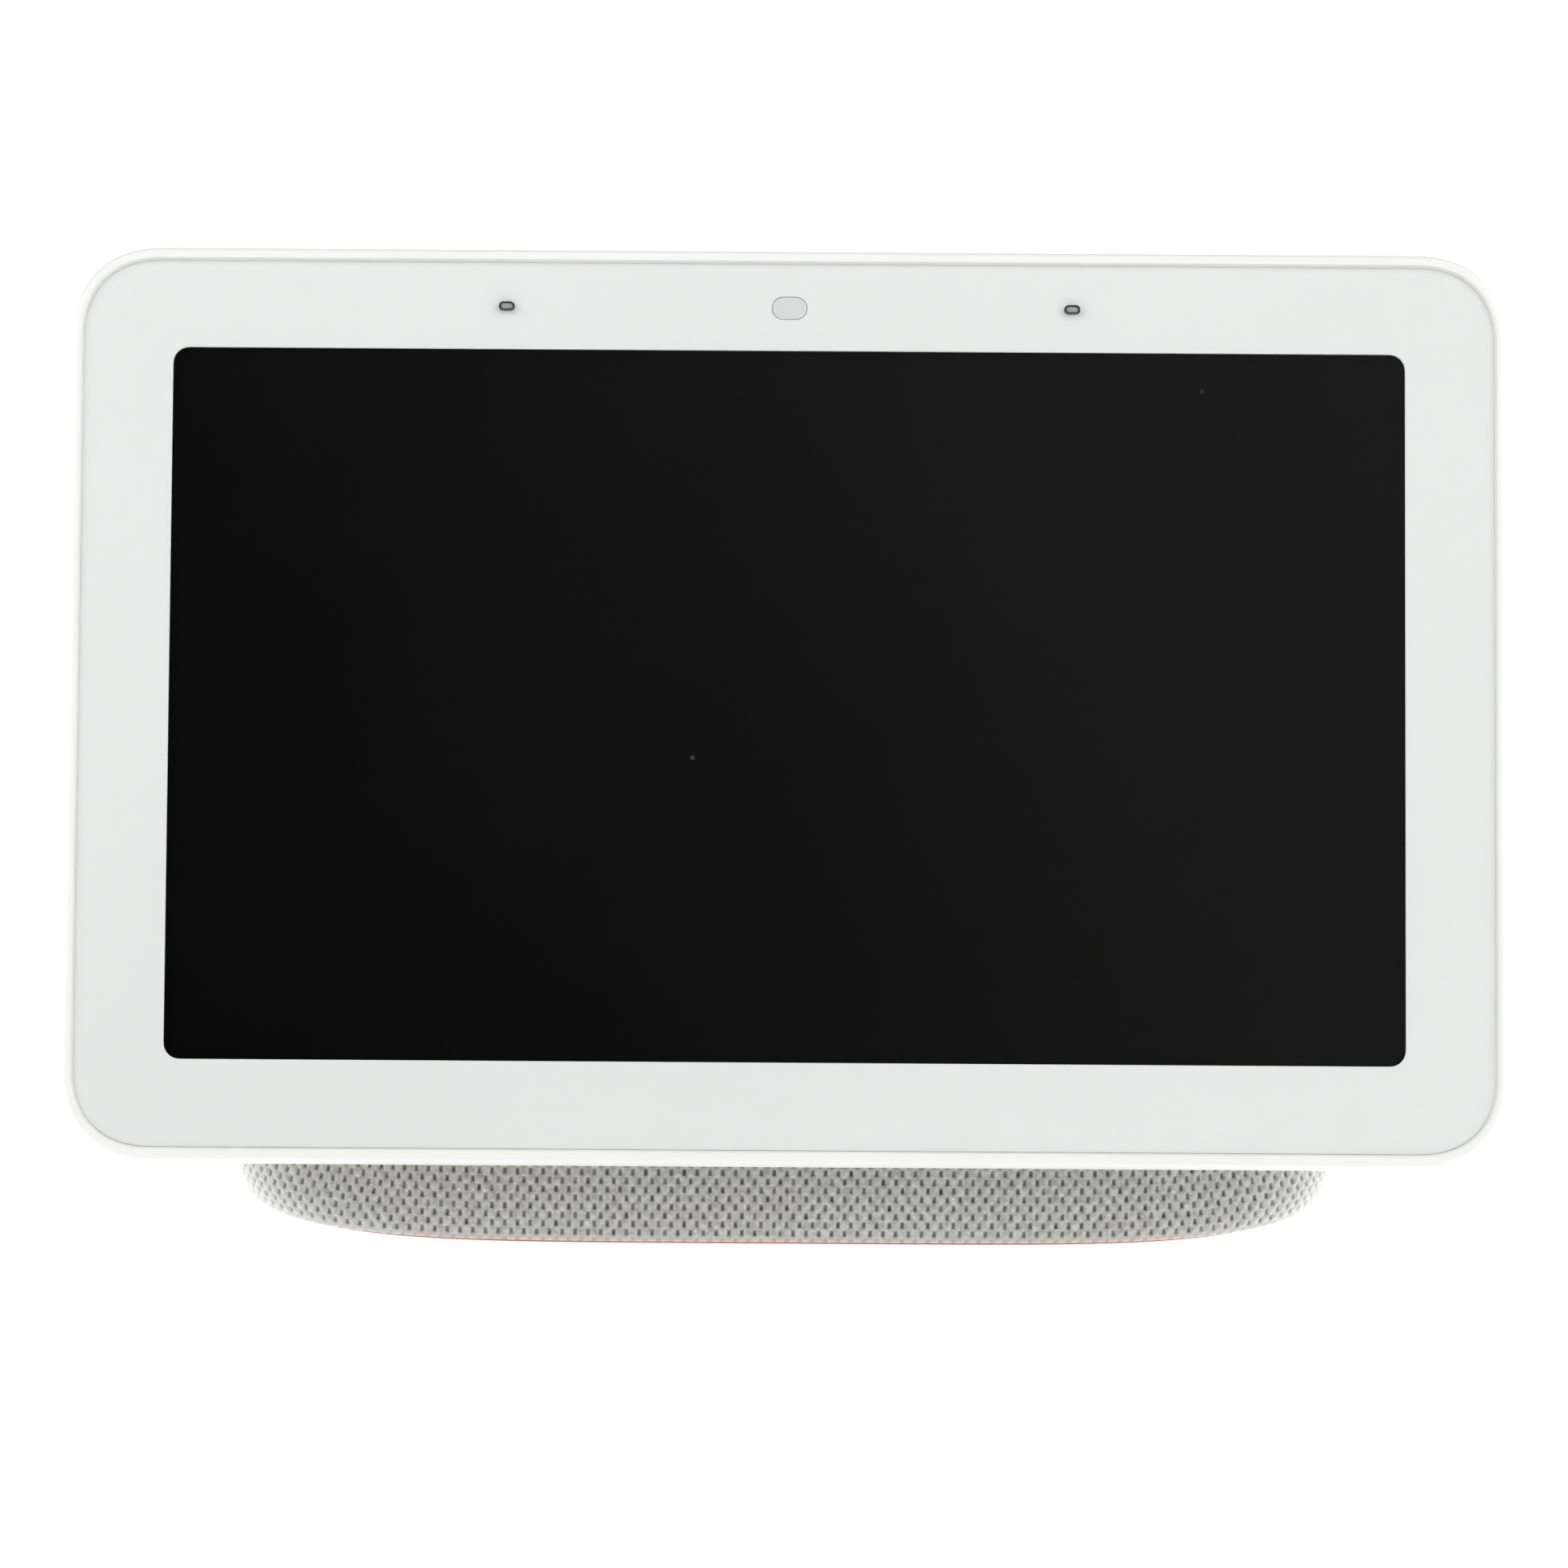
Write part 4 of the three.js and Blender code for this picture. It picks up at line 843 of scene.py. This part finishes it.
def pivot_line():
    """The line that the base's sections turn about: where the joint's plane meets the knit's floor."""
    centre = np.array(CENTRE) / MM
    v = (FABRIC_FLOOR - centre[2] + JOINT_DEPTH * math.sin(TILT)) / math.cos(TILT)
    return centre[1] + v * math.sin(TILT) + JOINT_DEPTH * math.cos(TILT)


PIVOT_Y = pivot_line()


def base_point(angle, turn, inset=0.0):
    """Points of the base's skin: angle lifts the section from the table to the head's back, and turn goes
    round it from the right-hand side, anticlockwise seen from above. Both may be arrays."""
    share = angle / BACK_ANGLE
    near = (BASE_FRONT - PIVOT_Y) / (np.cos(angle) - BASE_LEAN * np.sin(angle))
    far = BASE_REAR - PIVOT_Y + BASE_REACH * share * np.abs(share)
    half_width = BASE_HALF_WIDTH + BASE_SWELL * share - BASE_TAPER * share**2 - inset
    middle, half_depth = (near + far) / 2, (far - near) / 2 - inset
    cosine, sine = np.cos(turn), np.sin(turn)
    x = half_width * np.sign(cosine) * np.abs(cosine) ** (2 / BASE_ACROSS)
    distance = middle + half_depth * np.sign(sine) * np.abs(sine) ** (2 / BASE_ALONG)
    y = PIVOT_Y + distance * np.cos(angle)
    z = FABRIC_FLOOR + distance * np.sin(angle)
    return np.stack(np.broadcast_arrays(x, y, z), -1)


def lengths(points):
    """How far along a line of points each of them lies."""
    steps = np.linalg.norm(np.diff(points, axis=0), axis=1)
    return np.concatenate([[0], np.cumsum(steps)])


def fine_turns(steps):
    """Turns all the way round, packed close at the four quarters, where the outline runs on fastest."""
    share = np.arange(steps) / steps
    power = BASE_ACROSS / 2
    packed = share**power / (share**power + (1 - share) ** power)
    quarters = [(quarter + packed) * math.pi / 2 for quarter in range(4)]
    return np.append(np.concatenate(quarters), 2 * math.pi)


FOOT_TURNS = fine_turns(1500)
FOOT_ALONG = lengths(base_point(0.0, FOOT_TURNS))


def even_turns(count):
    """Turns that are equally far apart along the base's foot."""
    return np.interp(np.arange(count) / count * FOOT_ALONG[-1], FOOT_ALONG, FOOT_TURNS)


def foot_loop(turns, inset, height):
    """A level loop round the base's foot, at an inset from the knit."""
    loop = base_point(0.0, turns, inset)
    loop[:, 2] = height
    return loop


COLUMN_SAMPLES = 6  # mesh columns for each stitch
ROW_SAMPLES = 3  # mesh rows for each row of stitches
FOOT_FOLD = ((1.0, 1.35), (0.75, 0.98), (0.3, 0.94))  # (inset, height) of the loops folded in at the foot
TOP_FOLD = ((0.9, 0.0), (1.05, 0.6))  # (inwards, away from the head) of the loops folded in at the top


def dimple(across, up):
    """How deep the knit's holes are at a place counted in stitches and rows: 0 on the yarn, 1 in a hole."""
    inline = np.cos(2 * math.pi * across) * np.sign(np.cos(math.pi * up))

    def smooth_step(value, high):
        t = np.clip(value / high, 0, 1)
        return t * t * (3 - 2 * t)

    return smooth_step(inline, 1.0) * smooth_step(np.abs(np.cos(math.pi * up)), 0.9)


# The line along the base's foot whose ends the wales fan about, and how far apart they stand there.
SPINE = {"half": 45.0, "radius": 25.0}
ROUND_SPINE = 2 * math.pi * SPINE["radius"] + 4 * SPINE["half"]


def wale(points):
    """Which wale of the knit a point lies on, as one number that grows anticlockwise round the base.

    Wales rise square to the hem along the front and the back, and fan about the spine's ends between."""
    x, y = points[..., 0], points[..., 1]
    half, radius = SPINE["half"], SPINE["radius"]
    right = radius * np.arctan2(y, x - half)
    left = radius * (np.arctan2(-y, -x - half) + math.pi) + 2 * half
    rear = radius * math.pi / 2 + half - x
    front = radius * math.pi * 1.5 + 3 * half + x
    middle = np.where(y > 0, rear, front)
    place = np.where(x > half, right, np.where(x < -half, left, middle))
    return np.where(place < -1e-9, place + ROUND_SPINE, place)


def knit_grid():
    """For each column round the base, its points from the foot up to the head's back, and how many rows
    up each of them is. Every mesh row lies level, and a column ends where it meets the head."""
    stitches = round(FOOT_ALONG[-1] / STITCH)
    turns = even_turns(stitches * COLUMN_SAMPLES)
    wales = wale(base_point(0.0, turns))
    angles = np.linspace(0, BACK_ANGLE, 240)
    rear = base_point(angles, math.pi / 2)
    climb = lengths(rear)
    rows = np.arange(0, climb[-1] / ROW * ROW_SAMPLES) / ROW_SAMPLES
    levels = np.interp(rows * ROW, climb, rear[:, 2])
    around = fine_turns(500)[:-1]
    lines = base_point(angles[None], around[:, None])
    at = np.array([np.interp(levels, line[:, 2], angles) for line in lines])
    loops = base_point(at, around[:, None])
    rim = lines[:, -1]

    def on_loop(loop):
        found = [np.interp(wales, wale(loop), loop[:, axis], period=ROUND_SPINE) for axis in range(3)]
        return np.stack(found, 1)

    tops = on_loop(rim)
    by_level = [on_loop(loops[:, k]) for k in range(len(levels))]
    grid = []
    for j in range(len(turns)):
        alive = int(np.sum(levels < tops[j, 2] - 0.05))
        points = np.array([by_level[k][j] for k in range(alive)] + [tops[j]])
        up = np.append(rows[:alive], np.interp(tops[j, 2], levels, rows))
        grid.append((points, up))
    return turns, grid


def knit_cover():
    """The knit as one skin, column by column, folded in under its foot and behind its top."""
    turns, grid = knit_grid()
    columns = len(grid)
    foot = [foot_loop(turns, *fold) for fold in FOOT_FOLD]
    ends = np.array([points[-1] for points, _ in grid])
    top = [hem_behind(ends, *fold) for fold in TOP_FOLD]
    lines, ups, places = [], [], []
    for j, (points, up) in enumerate(grid):
        line = [*(loop[j] for loop in foot), *points, *(loop[j] for loop in top)]
        lines.append(np.array(line))
        ups.append(np.concatenate([[-0.6, -0.3, -0.15], up, [up[-1] + 0.3, up[-1] + 0.6]]))
        places.append(np.full(len(line), j / COLUMN_SAMPLES))
    starts = np.concatenate([[0], np.cumsum([len(line) for line in lines])])
    points = np.concatenate(lines)
    up = np.concatenate(ups)
    across = np.concatenate(places)
    lower, upper = len(FOOT_FOLD) + 1, len(TOP_FOLD) + 1  # points of a column that no dimple moves
    hems = np.concatenate([[0] * lower + [1] * (len(line) - lower - upper) + [0] * upper for line in lines])
    faces = knit_faces(starts, [len(line) for line in lines], columns)
    faces, edge = cut_round(points, faces)
    cover = mesh_object("knit_cover", points, faces, FINISHES["knit"])
    count_stitches(cover, across, up, columns / COLUMN_SAMPLES)
    press_dimples(cover, across, up, hems, edge)
    drop_loose(cover)
    cover.data.shade_smooth()
    hand_in(cover, "knit", "fabric_cover")
    climb = lengths(base_point(np.linspace(0, BACK_ANGLE, 60), math.pi / 2))[-1]


def hem_behind(ends, inward, under):
    """The knit's upper edge folded in along the head's back, and then away from it."""
    following = np.roll(ends, -1, 0) - np.roll(ends, 1, 0)
    away = np.array(-OUT)
    inside = np.cross(away, following)
    inside /= np.linalg.norm(inside, axis=1)[:, None]
    inside *= np.sign(np.sum(inside * (ends.mean(0) - ends), axis=1).mean())
    return ends + inside * inward + away * under


def knit_faces(starts, sizes, columns):
    """Quads between neighbouring columns, level by level, and triangles where one column ends first."""
    faces = []
    for j in range(columns):
        following = (j + 1) % columns
        a, b = starts[j], starts[following]
        body_a, body_b = sizes[j] - len(TOP_FOLD), sizes[following] - len(TOP_FOLD)
        shared = max(body_a, body_b)
        for k in range(shared - 1):
            low_a, high_a = min(k, body_a - 1), min(k + 1, body_a - 1)
            low_b, high_b = min(k, body_b - 1), min(k + 1, body_b - 1)
            corners = [a + low_a, b + low_b, b + high_b, a + high_a]
            faces.append(tuple(int(c) for c in dict.fromkeys(corners)))
        for k in range(len(TOP_FOLD)):
            low_a, low_b = a + body_a - 1 + k, b + body_b - 1 + k
            faces.append((int(low_a), int(low_b), int(low_b + 1), int(low_a + 1)))
    return [face for face in faces if len(face) > 2]


def cut_round(points, faces):
    """Cuts the hole for the power inlet, and draws its rim onto a true circle."""
    low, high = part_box("jack_bezel")
    middle = np.array((low + high) / 2) / MM
    radius = (high.x - low.x) / 2 / MM + 0.08  # just clear of the inlet's ring
    flat = points[:, [0, 2]] - middle[[0, 2]]
    distance = np.linalg.norm(flat, axis=1)
    inside = (distance < radius) & (points[:, 1] > 0)
    kept = [face for face in faces if not inside[list(face)].any()]
    gone = {i for face in faces if inside[list(face)].any() for i in face}
    rim = np.array(sorted({i for face in kept for i in face} & gone), int)
    scale = (radius / distance[rim])[:, None]
    points[rim[:, None], [0, 2]] = middle[[0, 2]] + flat[rim] * scale
    return kept, rim


def count_stitches(cover, across, up, stitches):
    """The UV map: stitches across and rows up."""
    layer = cover.data.uv_layers.new(name="stitches")
    corners = np.zeros(len(cover.data.loops), int)
    cover.data.loops.foreach_get("vertex_index", corners)
    u, v = across[corners], up[corners]
    first = np.zeros(len(cover.data.polygons), int)
    total = np.zeros(len(cover.data.polygons), int)
    cover.data.polygons.foreach_get("loop_start", first)
    cover.data.polygons.foreach_get("loop_total", total)
    face = np.repeat(np.arange(len(first)), total)
    widest = np.zeros(len(first))
    np.maximum.at(widest, face, u)
    wrapped = (widest[face] > stitches / 2) & (u < stitches / 4)
    u = np.where(wrapped, u + stitches, u)
    layer.data.foreach_set("uv", np.stack([u, v], 1).ravel())


def press_dimples(cover, across, up, hems, edge):
    """Presses each hole of the knit in along the skin's normal, and lets the yarn stand unevenly."""
    mesh = cover.data
    count = len(mesh.vertices)
    points, normals = np.zeros(count * 3), np.zeros(count * 3)
    mesh.vertices.foreach_get("co", points)
    mesh.vertices.foreach_get("normal", normals)
    points, normals = points.reshape(-1, 3), normals.reshape(-1, 3)
    fade = hems.astype(float)
    fade[edge] = 0
    uneven = 0.8 + 0.4 * random.random((512, 256))
    cell = uneven[(across * 2).astype(int) % 512, np.clip(up, 0, 255).astype(int)]
    outward = np.sign(np.sum(normals * (points - points.mean(0)), axis=1).mean())
    shift = -DIMPLE * MM * dimple(across, up) * cell * fade * outward
    mesh.vertices.foreach_set("co", (points + normals * shift[:, None]).ravel())
    if outward < 0:
        mesh.flip_normals()
    mesh.update()


def drop_loose(cover):
    """Removes the points that no face uses any more, inside the inlet's hole."""
    work = bmesh.new()
    work.from_mesh(cover.data)
    loose = [vertex for vertex in work.verts if not vertex.link_faces]
    bmesh.ops.delete(work, geom=loose, context="VERTS")
    work.to_mesh(cover.data)
    work.free()


def rubber_foot():
    """The coral foot, from (inset, height) pairs: a tread round a recessed middle, with its edge rounded."""
    low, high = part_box("rubber_foot")
    height = (high.z - low.z) / MM
    middle = ((8.0, 0.12), (6.6, 0.12))
    tread = ((6.2, 0.0), (1.9, 0.0), (1.68, 0.06), (1.6, 0.2))
    top = ((1.6, height - 0.15), (1.75, height), (3.0, height))
    turns = even_turns(360)
    rings = [foot_loop(turns, *step) for step in (*middle, *tread, *top)]
    foot = loft("foot_pad", rings, FINISHES["coral_rubber"], place=np.asarray)
    hand_in(smooth(foot), "coral_rubber", "rubber_foot")


def turned_piece(name, profile, centre, material, steps=64):
    """A closed ring turned about +Y through a point, from (radius, y) pairs in millimetres."""
    angles = np.arange(steps) / steps * 2 * math.pi
    count = len(profile)
    points = []
    for a in angles:
        cosine, sine = math.cos(a), math.sin(a)
        points += [(centre[0] + radius * cosine, y, centre[1] + radius * sine) for radius, y in profile]
    faces = []
    for i in range(steps):
        here, there = i * count, (i + 1) % steps * count
        for j in range(count):
            following = (j + 1) % count
            faces.append((here + j, here + following, there + following, there + j))
    if volume(np.array(points), faces) < 0:
        faces = [face[::-1] for face in faces]
    return mesh_object(name, points, faces, material)


def inlet_bezel():
    """The ring round the power inlet, with both edges of its mouth rounded."""
    low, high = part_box("jack_bezel")
    centre = (np.array(low + high) / 2 / MM)[[0, 2]]
    foot, lip = low.y / MM, high.y / MM
    outer = (high.x - low.x) / 2 / MM
    inner, edge = outer - 0.9, 0.3
    profile = [(inner, foot), (outer, foot), (outer, lip - edge)]
    profile += [(outer - edge * (1 - math.cos(t)), lip - edge * (1 - math.sin(t))) for t in quarter_turn(4)]
    profile += [(inner + edge * (1 - math.sin(t)), lip - edge * (1 - math.cos(t))) for t in quarter_turn(4)]
    bezel = turned_piece("inlet_bezel", profile, centre, FINISHES["black_plastic"])
    hand_in(smooth(bezel), "black_plastic", "jack_bezel")


# ---------------------------------------------------------------- the scene

make_camera()
make_floor()
make_world()
make_light()
finish_cad_nodes()
cover_glass()
border_film()
sensor_lens()
mic_meshes()
rear_housing()
volume_rocker()
mute_slider()
knit_cover()
rubber_foot()
inlet_bezel()

bpy.context.scene.view_settings.view_transform = "Standard"
